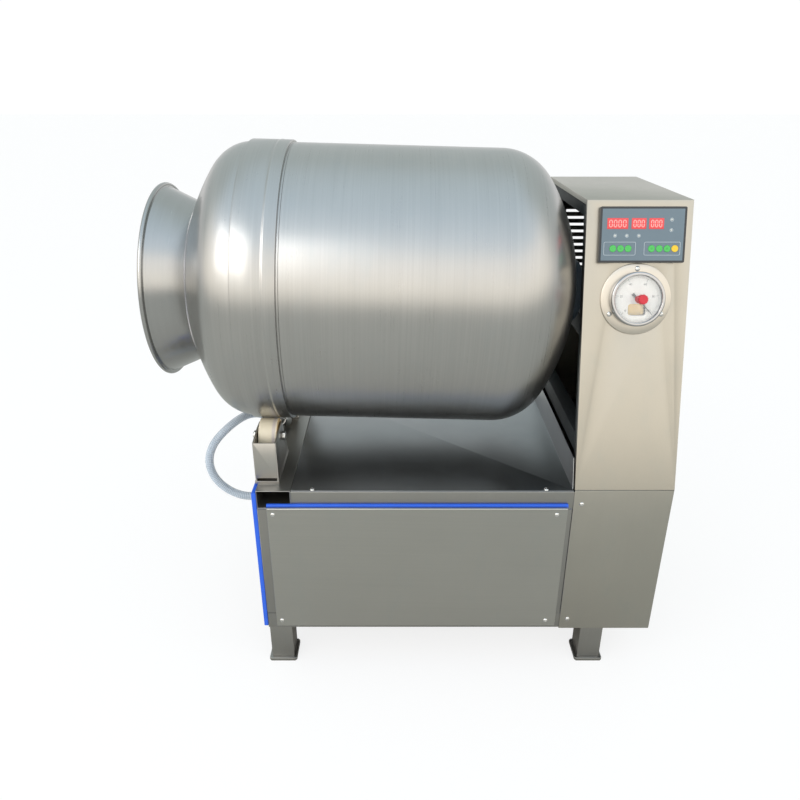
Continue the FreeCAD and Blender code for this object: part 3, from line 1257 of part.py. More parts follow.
def control_housing():
    """Panel-mounted box: raised border, pocket for the face sheet and a body behind the sheet."""
    cx, cz = CONTROL_X, CONTROL_UP
    w, h = CONTROL_SIZE
    border = face_box(cx, cz, w, h, -CONTROL_PROUD, 0)
    corners = [e for e in border.Edges if abs(e.tangentAt(e.FirstParameter).y) > 0.9]
    border = border.makeFillet(CONTROL_CORNER, corners)
    body = face_box(cx, cz, CONTROL_BODY[0], CONTROL_BODY[1], 0, CONTROL_BODY[2])
    unit = fused([border, body])
    pocket = face_box(cx, cz, w - 2 * CONTROL_BORDER, h - 2 * CONTROL_BORDER,
                      -CONTROL_PROUD - 1, -CONTROL_PROUD + CONTROL_FACE)
    unit = unit.cut(pocket)
    floor = -CONTROL_PROUD + CONTROL_FACE
    for x in KEY_XS:
        unit = unit.cut(rod(KEY_RADIUS + KEY_GAP, (x, floor - 1, KEY_UP),
                            (x, floor + KEY_SKIRT - KEY_PROUD + KEY_TRAVEL + 0.4, KEY_UP)))
    return on_face(unit)


def control_face():
    """Face sheet with openings for the windows, lamps and keys."""
    cx, cz = CONTROL_X, CONTROL_UP
    w, h = CONTROL_SIZE
    y0, y1 = -CONTROL_PROUD, -CONTROL_PROUD + CONTROL_FACE
    sheet = face_box(cx, cz, w - 2 * CONTROL_BORDER, h - 2 * CONTROL_BORDER, y0, y1)
    for x, width in WINDOWS:
        sheet = sheet.cut(face_box(cx + x, WINDOW_UP, width, WINDOW_HEIGHT, y0 - 1, y1 + 1))
    for x, z in LEDS:
        sheet = sheet.cut(rod(LED_RADIUS, (cx + x, y0 - 1, cz + z), (cx + x, y1 + 1, cz + z)))
    for x in KEY_XS:
        sheet = sheet.cut(rod(KEY_RADIUS + KEY_GAP, (x, y0 - 1, KEY_UP), (x, y1 + 1, KEY_UP)))
    return on_face(sheet)


def display_windows():
    """Three red display windows, a little proud of the face."""
    y0, y1 = -CONTROL_PROUD - WINDOW_PROUD, -CONTROL_PROUD + CONTROL_FACE
    return group([on_face(face_box(CONTROL_X + x, WINDOW_UP, width, WINDOW_HEIGHT, y0, y1))
                  for x, width in WINDOWS])


def indicator_lamps():
    """Five small round lamps with tapered ends."""
    lamps = []
    y1 = -CONTROL_PROUD + CONTROL_FACE
    y0 = -CONTROL_PROUD
    outline = [(y1, 0.0), (y1, LED_RADIUS), (y0, LED_RADIUS),
               (y0 - LED_TIP, LED_RADIUS * 0.5), (y0 - LED_TIP, 0.0)]
    for x, z in LEDS:
        lamp = flat_turned(outline)
        lamp.translate(V(CONTROL_X + x, 0, CONTROL_UP + z))
        lamps.append(on_face(lamp))
    return group(lamps)


def control_key(x):
    """Round key cap with an eased rim."""
    y0 = -CONTROL_PROUD - KEY_PROUD
    y1 = y0 + CONTROL_FACE + KEY_SKIRT
    cap = flat_turned([(y1, 0.0), (y1, KEY_RADIUS), (y0 + KEY_EASE, KEY_RADIUS),
                       (y0, KEY_RADIUS - KEY_EASE), (y0, 0.0)])
    cap.translate(V(x, 0, KEY_UP))
    return on_face(cap)


# ================================================================ vacuum gauge
def gauge_case():
    """Gauge case: front flange and a cup through the sheet."""
    back = GAUGE_CASE_DEPTH
    r = GAUGE_CASE
    outline = [(-GAUGE_FLANGE_THICK, GAUGE_FLANGE), (0, GAUGE_FLANGE), (0, r), (back, r),
               (back, 0.0), (back - GAUGE_WALL, 0.0), (back - GAUGE_WALL, r - GAUGE_WALL),
               (-GAUGE_FLANGE_THICK, r - GAUGE_WALL)]
    cup = flat_turned(outline)
    stem = regular_prism(6, 9.0, (0, back, -20), (0, back + 16, -20))
    return at_gauge(cup.fuse(stem))


def gauge_bezel():
    """Turned bezel ring that holds the glass."""
    y0, y1 = GAUGE_FRONT, -GAUGE_FLANGE_THICK
    r = GAUGE_BEZEL
    outline = [(y0, r - 6.5), (y0, r - 3), (y0 + 3, r), (y1, r), (y1, r - 4.5),
               (y0 + 2 + GAUGE_GLASS_THICK, r - 4.5), (y0 + 2 + GAUGE_GLASS_THICK, r - 3.0),
               (y0 + 2, r - 3.0), (y0 + 2, r - 6.5)]
    return at_gauge(flat_turned(outline))


def gauge_glass():
    """Glass disc with a hole for the setting knob's spindle."""
    y0 = GAUGE_FRONT + 2
    disc = rod(GAUGE_BEZEL - 3.0, (0, y0, 0), (0, y0 + GAUGE_GLASS_THICK, 0))
    return at_gauge(disc.cut(rod(KNOB_SPINDLE + RUNNING_GAP, (0, y0 - 1, 0), (0, y0 + 10, 0))))


def gauge_dial():
    """White dial with a window over the movement, on three pillars from the case."""
    y0 = DIAL_FRONT
    disc = rod(DIAL_RADIUS, (0, y0, 0), (0, y0 + DIAL_THICK, 0))
    window = box(-17, 17, y0 - 1, y0 + 5, -31, -9)
    ends = [e for e in window.Edges if abs(e.tangentAt(e.FirstParameter).y) > 0.9]
    disc = disc.cut(window.makeFillet(6.0, ends))
    disc = disc.cut(rod(SPINDLE + RUNNING_GAP, (0, y0 - 1, 0), (0, y0 + 5, 0)))
    pillars = []
    for i in range(3):
        angle = math.radians(90 + 120 * i)
        x, z = 36 * math.cos(angle), 36 * math.sin(angle)
        pillars.append(rod(2.5, (x, y0 + DIAL_THICK, z), (x, GAUGE_CASE_DEPTH - GAUGE_WALL, z)))
    return at_gauge(fused([disc] + pillars))


def gauge_movement():
    """Brass movement behind the dial: two plates on posts, a toothed sector and the tube's end."""
    back = GAUGE_CASE_DEPTH - GAUGE_WALL
    front = DIAL_FRONT + DIAL_THICK + 3.0
    front_plate = box(-15, 15, front, front + 1.5, -30, 8)
    back_plate = box(-15, 15, front + 11, front + 12.5, -30, 8)
    posts = [rod(2.0, (x, front + 1.5, z), (x, front + 11, z)) for x in (-12, 12) for z in (-27, 5)]
    feet = [rod(3.0, (0, front + 12.5, z), (0, back, z)) for z in (-24, 2)]
    sector = [(0.0, front + 5, -24.0)]
    for i in range(11):
        angle = math.radians(60 + 6 * i)
        reach = 17.0 if i % 2 else 15.5
        sector.append((reach * math.cos(angle), front + 5, -24.0 + reach * math.sin(angle)))
    gear = prism(sector, (0, 2.0, 0))
    arbor = rod(1.5, (0, front + 1.5, -24), (0, front + 11, -24))
    plates = fused([front_plate, back_plate] + posts + feet + [gear.fuse(arbor)])
    return at_gauge(plates.cut(rod(SPINDLE + RUNNING_GAP, (0, front - 1, 0), (0, front + 11.5, 0))))


def gauge_needle():
    """Pointer, its tail and boss, on the movement's spindle."""
    y0 = DIAL_FRONT - 2.6
    blade = prism([(-1.6, y0, 0), (-0.4, y0, NEEDLE_TIP), (0.4, y0, NEEDLE_TIP), (1.6, y0, 0),
                   (3.0, y0, -NEEDLE_TAIL), (-3.0, y0, -NEEDLE_TAIL)], (0, NEEDLE_THICK, 0))
    boss = rod(3.6, (0, y0 - 0.6, 0), (0, y0 + 1.6, 0))
    spindle = rod(SPINDLE, (0, y0, 0), (0, DIAL_FRONT + DIAL_THICK + 13.0, 0))
    needle = fused([blade, boss, spindle])
    needle.rotate(V(0, 0, 0), V(0, 1, 0), NEEDLE_REST)
    return at_gauge(needle)


def setting_knob():
    """Red setting knob, dark collar and spindle through the glass, one turning piece."""
    glass = GAUGE_FRONT + 2
    collar_end = glass - 0.3 - KNOB_COLLAR_LENGTH
    tip = collar_end - KNOB_LENGTH
    spindle = rod(KNOB_SPINDLE, (0, glass - 0.3, 0), (0, glass + GAUGE_GLASS_THICK + KNOB_INSIDE, 0))
    collar = rod(KNOB_COLLAR, (0, collar_end, 0), (0, glass - 0.3, 0))
    cap = flat_turned([(tip, 0.0), (tip, KNOB_RADIUS - 1.5), (tip + 1.5, KNOB_RADIUS),
                       (collar_end, KNOB_RADIUS), (collar_end, 0.0)])
    for i in range(12):
        angle = 2 * math.pi * i / 12
        x, z = (KNOB_RADIUS + 0.6) * math.cos(angle), (KNOB_RADIUS + 0.6) * math.sin(angle)
        cap = cap.cut(rod(1.2, (x, tip - 1, z), (x, collar_end + 0.01, z)))
    return at_gauge(fused([cap, collar, spindle]))


# ================================================================ vacuum system and inlets
def vacuum_pump():
    """Rotary vane pump: finned body, oil tank with its sight glass boss, and its motor along Y."""
    cx, cy = PUMP_CENTRE
    w, d, h = PUMP_BODY
    z0 = TRAY_TOP
    body = box(cx - w / 2, cx + w / 2, cy - d / 2, cy + d / 2, z0 + 12, z0 + h)
    upright = [e for e in body.Edges if abs(e.tangentAt(e.FirstParameter).y) > 0.9]
    body = body.makeFillet(14.0, upright)
    pieces = [body]
    for i in range(7):
        y = cy - d / 2 + 14 + i * 17
        pieces.append(box(cx - w / 2 - 5, cx + w / 2 + 5, y, y + 4, z0 + 24, z0 + h + 5))
    for side in (-1, 1):
        pieces.append(box(cx + side * w * 0.38 - 14, cx + side * w * 0.38 + 14,
                          cy - d / 2, cy + d / 2, z0, z0 + 14))
    pieces.append(rod(14.0, (cx - w / 2 - 7, cy - 30, z0 + 45), (cx - w / 2 + 5, cy - 30, z0 + 45)))
    pieces.append(rod(12.0, (cx, cy, z0 + h - 4), (cx, cy, z0 + h + 26)))
    mz = z0 + 66
    start = cy - d / 2
    pieces.append(rod(PUMP_MOTOR_RADIUS - 5, (cx, start - PUMP_MOTOR_LENGTH, mz), (cx, start, mz)))
    for i in range(14):
        fin = box(-1.4, 1.4, start - PUMP_MOTOR_LENGTH + 10, start - 6, 0, PUMP_MOTOR_RADIUS)
        fin.rotate(V(0, 0, 0), V(0, 1, 0), 360.0 * i / 14)
        fin.translate(V(cx, 0, mz))
        pieces.append(fin)
    return fused(pieces)


def water_separator():
    """Clear-bowl separator on a pedestal: bowl, cap and two ports."""
    cx, cy = SEPARATOR_CENTRE
    z0 = TRAY_TOP
    r, h = SEPARATOR_RADIUS, SEPARATOR_HEIGHT
    outline = [(z0, 0.0), (z0, r * 0.75), (z0 + 8, r * 0.75), (z0 + 20, r), (z0 + h, r),
               (z0 + h, r + 5), (z0 + h + 18, r + 5), (z0 + h + 24, r - 4), (z0 + h + 24, 0.0)]
    corners = [V(radius, 0, z) for z, radius in outline]
    bowl = Part.Face(Part.makePolygon(corners + corners[:1])).revolve(V(0, 0, 0), V(0, 0, 1), 360)
    bowl.translate(V(cx, cy, 0))
    zp = z0 + h + 9
    ports = [rod(8.0, (cx + r, cy, zp), (cx + r + 20, cy, zp)),
             rod(8.0, (cx, cy, z0 + h + 20), (cx, cy, z0 + h + 36))]
    return fused([bowl] + ports)


def hose_port():
    """Bulkhead fitting on the left panel: thread, hexagon and crimped ferrule, bored through."""
    x = -LEFT_SEAL_THICK - PANEL_SHEET
    hex_end = x - PORT_HEX_LENGTH
    thread = rod(PORT_HEX * 0.6, (x + 24, PORT_Y, PORT_Z), (x, PORT_Y, PORT_Z))
    nut = regular_prism(6, PORT_HEX, (x + PANEL_SHEET + 6, PORT_Y, PORT_Z), (x + PANEL_SHEET, PORT_Y, PORT_Z))
    hexagon = regular_prism(6, PORT_HEX, (x, PORT_Y, PORT_Z), (hex_end, PORT_Y, PORT_Z))
    ferrule = rod(PORT_FERRULE, (hex_end, PORT_Y, PORT_Z),
                  (hex_end - PORT_FERRULE_LENGTH, PORT_Y, PORT_Z))
    return fused([thread, nut, hexagon, ferrule])


def hose_start():
    """Where the hose leaves the ferrule."""
    return V(-LEFT_SEAL_THICK - PANEL_SHEET - PORT_HEX_LENGTH - PORT_FERRULE_LENGTH, PORT_Y, PORT_Z)


# The hose's route after the ferrule, in layout axes: out to the left, up beside the deck, back over
# the top of its bow, and down to the coupling that lies nose down on the roller rail.
HOSE_ROUTE = (
    (-55.0, 140.0, 355.0),
    (-76.0, 141.0, 361.0),
    (-96.0, 142.0, 372.0),
    (-116.0, 142.0, 393.0),
    (-128.0, 142.0, 421.0),
    (-129.0, 144.0, 452.0),
    (-118.0, 150.0, 481.0),
    (-97.0, 160.0, 505.0),
    (-71.0, 180.0, 523.0),
    (-49.0, 205.0, 528.0),
    (-27.0, 228.0, 520.0),
    (-7.0, 245.0, 500.0),
    (5.0, 267.0, 486.0),
)


def rounded_path(points):
    """Straight runs joined by tangent arcs, each as large as its two runs allow; prints the radii."""
    corners = [V(*p) for p in points]
    edges = []
    radii = []
    here = corners[0]
    for i in range(1, len(corners) - 1):
        before = corners[i - 1] - corners[i]
        after = corners[i + 1] - corners[i]
        half_turn = (math.pi - before.getAngle(after)) / 2
        shorter = min(before.Length, after.Length)
        cut = 0.45 * shorter
        radius = cut / math.tan(half_turn)
        radii.append(radius)
        u, w = V(before).normalize(), V(after).normalize()
        start, end = corners[i] + u * cut, corners[i] + w * cut
        bisector = (u + w).normalize()
        centre = corners[i] + bisector * (radius / math.cos(half_turn))
        middle = centre - bisector * radius
        edges.append(Part.LineSegment(here, start).toShape())
        edges.append(Part.Arc(start, middle, end).toShape())
        here = end
    edges.append(Part.LineSegment(here, corners[-1]).toShape())
    return Part.Wire(edges), radii


def vacuum_hose():
    """The hose as a plain tube-shaped solid along its route."""
    wire, radii = rounded_path([tuple(hose_start())] + list(HOSE_ROUTE))
    direction = wire.Edges[0].tangentAt(wire.Edges[0].FirstParameter)
    section = Part.Wire([Part.makeCircle(HOSE_RADIUS, hose_start(), direction)])
    hose = wire.makePipeShell([section], True, False)
    ideal = math.pi * HOSE_RADIUS ** 2 * wire.Length
    print("hose length %.1f mm, radii %s" % (wire.Length, ", ".join("%.0f" % r for r in radii)))
    print("hose volume over section times length: %.4f" % (hose.Volume / ideal))
    return hose


def hose_coupling():
    """Quick coupling on the hose's free end: ferrule, knurled sleeve and open mouth."""
    last, before = V(*HOSE_ROUTE[-1]), V(*HOSE_ROUTE[-2])
    axis = (last - before).normalize()
    sleeve_start, sleeve_end = COUPLING_LENGTH * 0.35, COUPLING_LENGTH * 0.8
    outline = [(0, 0.0), (0, COUPLING_FERRULE), (sleeve_start, COUPLING_FERRULE),
               (sleeve_start, COUPLING_SLEEVE - 0.8), (sleeve_start + 0.8, COUPLING_SLEEVE),
               (sleeve_end - 0.8, COUPLING_SLEEVE), (sleeve_end, COUPLING_MOUTH),
               (COUPLING_LENGTH, COUPLING_MOUTH), (COUPLING_LENGTH, COUPLING_BORE),
               (COUPLING_LENGTH * 0.4, COUPLING_BORE), (COUPLING_LENGTH * 0.4, 0.0)]
    corners = [V(radius, 0, z) for z, radius in outline]
    piece = Part.Face(Part.makePolygon(corners + corners[:1])).revolve(V(0, 0, 0), V(0, 0, 1), 360)
    piece.Placement = FreeCAD.Placement(last, FreeCAD.Rotation(V(0, 0, 1), axis))
    return piece


def cable_gland():
    """Gland for the supply cable, low on the column's back, with nothing in it."""
    x = (BASE_WIDTH + COLUMN_RIGHT) / 2
    y = BASE_DEPTH + SHEET
    hexagon = regular_prism(6, GLAND_RADIUS, (x, y, GLAND_Z), (x, y + 8, GLAND_Z))
    dome = rod(GLAND_RADIUS * 0.82, (x, y + 8, GLAND_Z), (x, y + 20, GLAND_Z))
    thread = rod(GLAND_BORE + 2.0, (x, y, GLAND_Z), (x, y - GLAND_LENGTH + 20, GLAND_Z))
    body = fused([hexagon, dome, thread])
    return body.cut(rod(GLAND_BORE, (x, y + 21, GLAND_Z), (x, y - GLAND_LENGTH + 19, GLAND_Z)))


# ================================================================ the whole machine
def build():
    """Every node's shape, in layout axes."""
    nodes = {
        "base_frame": base_frame(),
        "deck_plate": deck_plate(),
        "machine_tray": machine_tray(),
        "front_panel": front_panel(),
        "left_panel": left_panel(),
        "back_panel": back_panel(),
        "panel_seals": panel_seals(),
        "panel_screws": panel_screws(),
        "column_frame": column_frame(),
        "column_shell": column_shell(),
        "column_lower_cover": column_lower_cover(),
        "column_back_cover": column_back_cover(),
        "bearing_support": bearing_support(),
        "pillow_blocks": pillow_blocks(),
        "frame_bolts": frame_bolts(),
        "roller_brackets": group([roller_bracket(-1), roller_bracket(1)]),
        "roller_axles": roller_axles(),
        "gearbox": gearbox(),
        "drive_motor": drive_motor(),
        "drive_belts": drive_belts(),
        "vacuum_pump": vacuum_pump(),
        "water_separator": water_separator(),
        "hose_port": hose_port(),
        "cable_gland": cable_gland(),
        "control_housing": control_housing(),
        "control_face": control_face(),
        "display_windows": display_windows(),
        "indicator_lamps": indicator_lamps(),
        "gauge_case": gauge_case(),
        "gauge_bezel": gauge_bezel(),
        "gauge_glass": gauge_glass(),
        "gauge_dial": gauge_dial(),
        "gauge_movement": gauge_movement(),
        "vacuum_hose": vacuum_hose(),
        "hose_coupling": hose_coupling(),
        "drum_barrel": drum_barrel(),
        "front_dome": front_dome(),
        "rear_dome": rear_dome(),
        "track_band": track_band(),
        "mouth_flare": mouth_flare(),
        "drum_flights": drum_flights(),
        "rear_hub": rear_hub(),
        "drum_shaft": drum_shaft(),
        "drum_pulley": drum_pulley(),
        "motor_pulley": motor_pulley(),
        "front_roller": roller(-1),
        "rear_roller": roller(1),
        "lid_disc": lid_disc(),
        "lid_seal": lid_seal(),
        "lid_fittings": lid_fittings(),
        "vacuum_swivel": vacuum_swivel(),
        "gauge_needle": gauge_needle(),
        "setting_knob": setting_knob(),
    }
    for number, x in enumerate(KEY_XS, start=1):
        nodes["key_%d" % number] = control_key(x)
    return nodes


def origin():
    """The part's origin in layout axes: on the floor, under the middle of the whole machine."""
    lip_centre = RIM_RADIUS + LIP_BEAD * 0.4
    left = (AXIS_X + (neck_at() - FLARE_LENGTH) * math.cos(TILT_RAD)
            - lip_centre * math.sin(TILT_RAD) - LIP_BEAD)
    right = COLUMN_RIGHT + SCREW_HEAD_HEIGHT
    return V((left + right) / 2, AXIS_Y, 0)


def main():
    """Build, move to the origin and write one STEP file per node."""
    os.makedirs("parts", exist_ok=True)
    shift = V(0, 0, 0) - origin()
    for name, shape in build().items():
        shape.translate(shift)
        shape.exportStep("parts/%s.step" % name)
        print("%-22s solids %3d  volume %10.0f  valid %s"
              % (name, len(shape.Solids), shape.Volume, shape.isValid()))


if __name__ == "__main__":
    main()
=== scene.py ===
"""Visual model of a meat vacuum tumbler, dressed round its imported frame.

Each sub-assembly is a class that holds its sizes in millimetres, in the machine's own axes: X to the
right from the base's left face, Y to the back from its front, Z up from the floor.  The drum, the
column's leaning front and the gauge have frames of their own, made by Layout.
"""

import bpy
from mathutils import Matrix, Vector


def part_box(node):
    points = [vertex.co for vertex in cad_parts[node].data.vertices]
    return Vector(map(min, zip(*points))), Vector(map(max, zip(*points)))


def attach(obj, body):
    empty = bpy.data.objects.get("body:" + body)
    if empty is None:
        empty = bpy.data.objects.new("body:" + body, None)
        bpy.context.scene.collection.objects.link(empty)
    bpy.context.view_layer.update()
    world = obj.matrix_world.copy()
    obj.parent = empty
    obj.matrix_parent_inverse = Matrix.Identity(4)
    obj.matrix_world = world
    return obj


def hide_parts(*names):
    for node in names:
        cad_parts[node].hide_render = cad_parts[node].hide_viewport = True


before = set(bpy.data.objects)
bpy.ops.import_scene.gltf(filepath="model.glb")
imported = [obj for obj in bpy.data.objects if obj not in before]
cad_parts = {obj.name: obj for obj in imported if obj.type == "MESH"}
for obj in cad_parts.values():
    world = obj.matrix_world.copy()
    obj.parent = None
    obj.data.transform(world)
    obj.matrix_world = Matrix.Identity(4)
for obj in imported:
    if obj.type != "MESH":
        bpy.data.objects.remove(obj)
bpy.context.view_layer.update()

import logging
import math
from dataclasses import dataclass, field
from enum import Enum
from typing import Callable, Sequence

import bmesh
import bpy
from mathutils import Matrix, Vector

LOG = logging.getLogger("tumbler")
Colour = tuple[float, float, float]
Outline = Sequence[tuple[float, float]]
QUARTER = math.pi / 2


# ---------------------------------------------------------------- the machine's own axes
@dataclass(frozen=True)
class Layout:
    """The machine's own frames, in millimetres, as matrices to the row frame in metres.

    The base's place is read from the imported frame; the rest are the machine's driving sizes.
    """

    foot_overhang: float = 6.0
    deck: float = 455.0
    fold: float = 457.0
    tilt: float = math.radians(1.5)
    lean: float = math.radians(15.0)
    axis_point: tuple[float, float, float] = (291.01, 247.5, 809.62)
    gauge_centre: tuple[float, float] = (742.0, 380.0)
    control_centre: tuple[float, float] = (746.5, 499.6)

    def machine(self) -> Matrix:
        """Machine axes: origin at the base's left, front, on the floor."""
        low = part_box("base_frame")[0]
        corner = Vector((low.x + self.foot_overhang / 1000, low.y, 0.0))
        return Matrix.Translation(corner) @ Matrix.Scale(0.001, 4)

    def drum(self) -> Matrix:
        """Drum axes: X along the drum's axis, mouth towards -X."""
        return self.machine() @ Matrix.Translation(self.axis_point) @ Matrix.Rotation(self.tilt, 4, "Y")

    def face(self) -> Matrix:
        """Leaning front of the column: X across, Y inward, Z up the sheet from its fold."""
        return self.machine() @ Matrix.Translation((0, 0, self.fold)) @ Matrix.Rotation(-self.lean, 4, "X")

    def gauge(self) -> Matrix:
        """Gauge axes: X inward, so the gauge's parts are turned about X; Z up the sheet."""
        across, up = self.gauge_centre
        return self.face() @ Matrix.Translation((across, 0, up)) @ Matrix.Rotation(QUARTER, 4, "Z")

    def unit(self) -> Matrix:
        """Control unit: X across from its middle, Y inward, Z up the sheet from its middle."""
        across, up = self.control_centre
        return self.face() @ Matrix.Translation((across, 0, up))


LAYOUT = Layout()


# ---------------------------------------------------------------- shader arithmetic
class Flow:
    """A value that varies over a surface: one socket, whose arithmetic adds Math nodes."""

    def __init__(self, bench: "Bench", socket: bpy.types.NodeSocket) -> None:
        self.bench = bench
        self.socket = socket

    def math(self, operation: str, other: "Flow | float" = 0.0, swapped: bool = False,
             clamp: bool = False) -> "Flow":
        """Adds one Math node.

        Args:
            operation: the node's operation.
            other: second operand.
            swapped: puts the other operand first.
            clamp: keeps the result from 0 to 1.

        Returns:
            The node's result.
        """
        first, second = (other, self) if swapped else (self, other)
        return self.bench.add("ShaderNodeMath", {"operation": operation, "use_clamp": clamp},
                              {0: first, 1: second})

    def __add__(self, other: "Flow | float") -> "Flow":
        """Sum."""
        return self.math("ADD", other)

    __radd__ = __add__

    def __sub__(self, other: "Flow | float") -> "Flow":
        """Difference."""
        return self.math("SUBTRACT", other)

    def __rsub__(self, other: "Flow | float") -> "Flow":
        """Difference with this value taken from a number."""
        return self.math("SUBTRACT", other, swapped=True)

    def __mul__(self, other: "Flow | float") -> "Flow":
        """Product."""
        return self.math("MULTIPLY", other)

    __rmul__ = __mul__

    def clamped(self) -> "Flow":
        """The value kept from 0 to 1."""
        return self.math("ADD", 0.0, clamp=True)

    def step(self, low: float, high: float) -> "Flow":
        """Smooth rise from 0 at low to 1 at high."""
        return self.bench.add("ShaderNodeMapRange", {"interpolation_type": "SMOOTHSTEP"},
                              {0: self, 1: low, 2: high, 3: 0.0, 4: 1.0})


class Bench:
    """One material's node tree, with its Principled shader."""

    def __init__(self, name: str) -> None:
        self.material = bpy.data.materials.new(name)
        self.material.use_nodes = True
        self.tree = self.material.node_tree
        self.shader = next(n for n in self.tree.nodes if n.type == "BSDF_PRINCIPLED")

    def add(self, kind: str, settings: dict | None = None, sockets: dict | None = None,
            output: int | str = 0) -> Flow:
        """Adds a node.

        Args:
            kind: the node's type.
            settings: its properties, set before its sockets.
            sockets: values or flows for its inputs, by index or name.
            output: which output is wanted.

        Returns:
            That output.
        """
        node = self.tree.nodes.new(kind)
        for key, value in (settings or {}).items():
            setattr(node, key, value)
        for key, value in (sockets or {}).items():
            self.feed(node.inputs[key], value)
        return Flow(self, node.outputs[output])

    def feed(self, socket: bpy.types.NodeSocket, value: object) -> None:
        """Gives a socket its value, or a link."""
        if isinstance(value, Flow):
            self.tree.links.new(value.socket, socket)
        elif isinstance(value, tuple) and len(value) == 3 and socket.type == "RGBA":
            socket.default_value = (*value, 1.0)
        else:
            socket.default_value = value

    def place(self) -> Flow:
        """Object coordinates, turned level with the drum's axis."""
        spot = self.add("ShaderNodeTexCoord", output="Object")
        return self.add("ShaderNodeMapping", {}, {0: spot, 2: (0.0, -LAYOUT.tilt, 0.0)})

    def noise(self, scale: Colour, detail: float = 2.0, rough: float = 0.5, seed: float = 0.0) -> Flow:
        """Noise on object coordinates.

        Args:
            scale: how fast it varies along each axis, per metre.
            detail: octaves.
            rough: how strong the finer octaves are.
            seed: shifts the pattern.

        Returns:
            A value about 0.5.
        """
        spread = self.add("ShaderNodeVectorMath", {"operation": "MULTIPLY"}, {0: self.place(), 1: scale})
        return self.add("ShaderNodeTexNoise", {"noise_dimensions": "4D"},
                        {"Vector": spread, "W": seed, "Scale": 1.0, "Detail": detail, "Roughness": rough})

    def blend(self, factor: Flow, low: "Flow | Colour", high: "Flow | Colour") -> Flow:
        """Mix of two colours by a factor."""
        return self.add("ShaderNodeMix", {"data_type": "RGBA", "clamp_factor": True},
                        {0: factor, 6: low, 7: high}, output=2)

    def bump(self, height: Flow, depth: float, strength: float = 1.0) -> None:
        """Feeds a height to the shader's normal; depth is in metres."""
        normal = self.add("ShaderNodeBump", {}, {"Height": height, "Distance": depth,
                                                 "Strength": strength})
        self.feed(self.shader.inputs["Normal"], normal)

    def surface(self, **sockets: object) -> bpy.types.Material:
        """Sets the shader's inputs, named with underscores for blanks, and returns the material."""
        for key, value in sockets.items():
            self.feed(self.shader.inputs[key.replace("_", " ")], value)
        return self.material


def shade(red: int, green: int, blue: int) -> Colour:
    """Display values from 0 to 255 as a linear colour."""
    def one(value: float) -> float:
        """One channel."""
        part = value / 255
        return part / 12.92 if part <= 0.04045 else ((part + 0.055) / 1.055) ** 2.4
    return one(red), one(green), one(blue)


def scaled(colour: Colour, by: float) -> Colour:
    """A colour made lighter or darker."""
    return tuple(min(1.0, c * by) for c in colour)


# ---------------------------------------------------------------- finishes
class Grain(Enum):
    """Which way the brushing runs: the pattern's scale along each axis, per metre."""

    ROUND = (240.0, 2.5, 2.5)
    ACROSS = (3.0, 120.0, 420.0)
    UPRIGHT = (420.0, 420.0, 3.0)
    INWARD = (420.0, 3.0, 420.0)


@dataclass(frozen=True)
class Steel:
    """Brushed stainless sheet: streaks along the grain, cloudy tone and handling marks."""

    name: str
    colour: Colour
    grain: Grain
    rough: float = 0.32
    streak: float = 0.16
    cloud: float = 0.10
    relief: float = 0.00006
    tint: Colour = (0.92, 0.97, 1.0)

    def make(self) -> bpy.types.Material:
        """Builds the material."""
        b = Bench(self.name)
        scale = self.grain.value
        fine = b.noise(tuple(4.0 * s if s > 100 else 1.6 * s for s in scale), 3.0, 0.7, 1.3)
        broad = b.noise(scale, 2.0, 0.6, 4.1)
        cloud = b.noise((7.0, 7.0, 7.0), 3.0, 0.55, 8.0)
        smear = b.noise((26.0, 26.0, 14.0), 4.0, 0.65, 2.7)
        lines = fine * 0.55 + broad * 0.45
        tone = (lines - 0.5) * (2.6 * self.streak) + (cloud - 0.5) * (2.0 * self.cloud) + 0.5
        colour = b.blend(tone.clamped(), scaled(self.colour, 0.62), scaled(self.colour, 1.38))
        toned = b.blend(smear.step(0.50, 0.75) * 0.35, colour,
                        tuple(c * t for c, t in zip(self.colour, self.tint)))
        rough = (lines - 0.5) * 0.16 + (smear - 0.5) * 0.10 + self.rough
        b.bump(fine, self.relief, 0.6)
        return b.surface(Base_Color=toned, Metallic=1.0, Roughness=rough.clamped())


@dataclass(frozen=True)
class Painted:
    """Paint or powder over metal or a casting, with orange peel and worn, dusty patches."""

    name: str
    colour: Colour
    rough: float = 0.5
    peel: float = 0.00012
    grain: float = 900.0
    wear: Colour = (0.18, 0.17, 0.16)
    metal: float = 0.0

    def make(self) -> bpy.types.Material:
        """Builds the material."""
        b = Bench(self.name)
        peel = b.noise((self.grain,) * 3, 2.0, 0.5, 3.0)
        cloud = b.noise((16.0,) * 3, 4.0, 0.6, 6.0)
        worn = cloud.step(0.60, 0.78) * 0.45
        base = b.blend((peel - 0.5) * 0.5 + 0.5, scaled(self.colour, 0.86), scaled(self.colour, 1.14))
        b.bump(peel, self.peel, 0.5)
        return b.surface(Base_Color=b.blend(worn, base, self.wear), Metallic=self.metal,
                         Roughness=((cloud - 0.5) * 0.25 + self.rough).clamped())


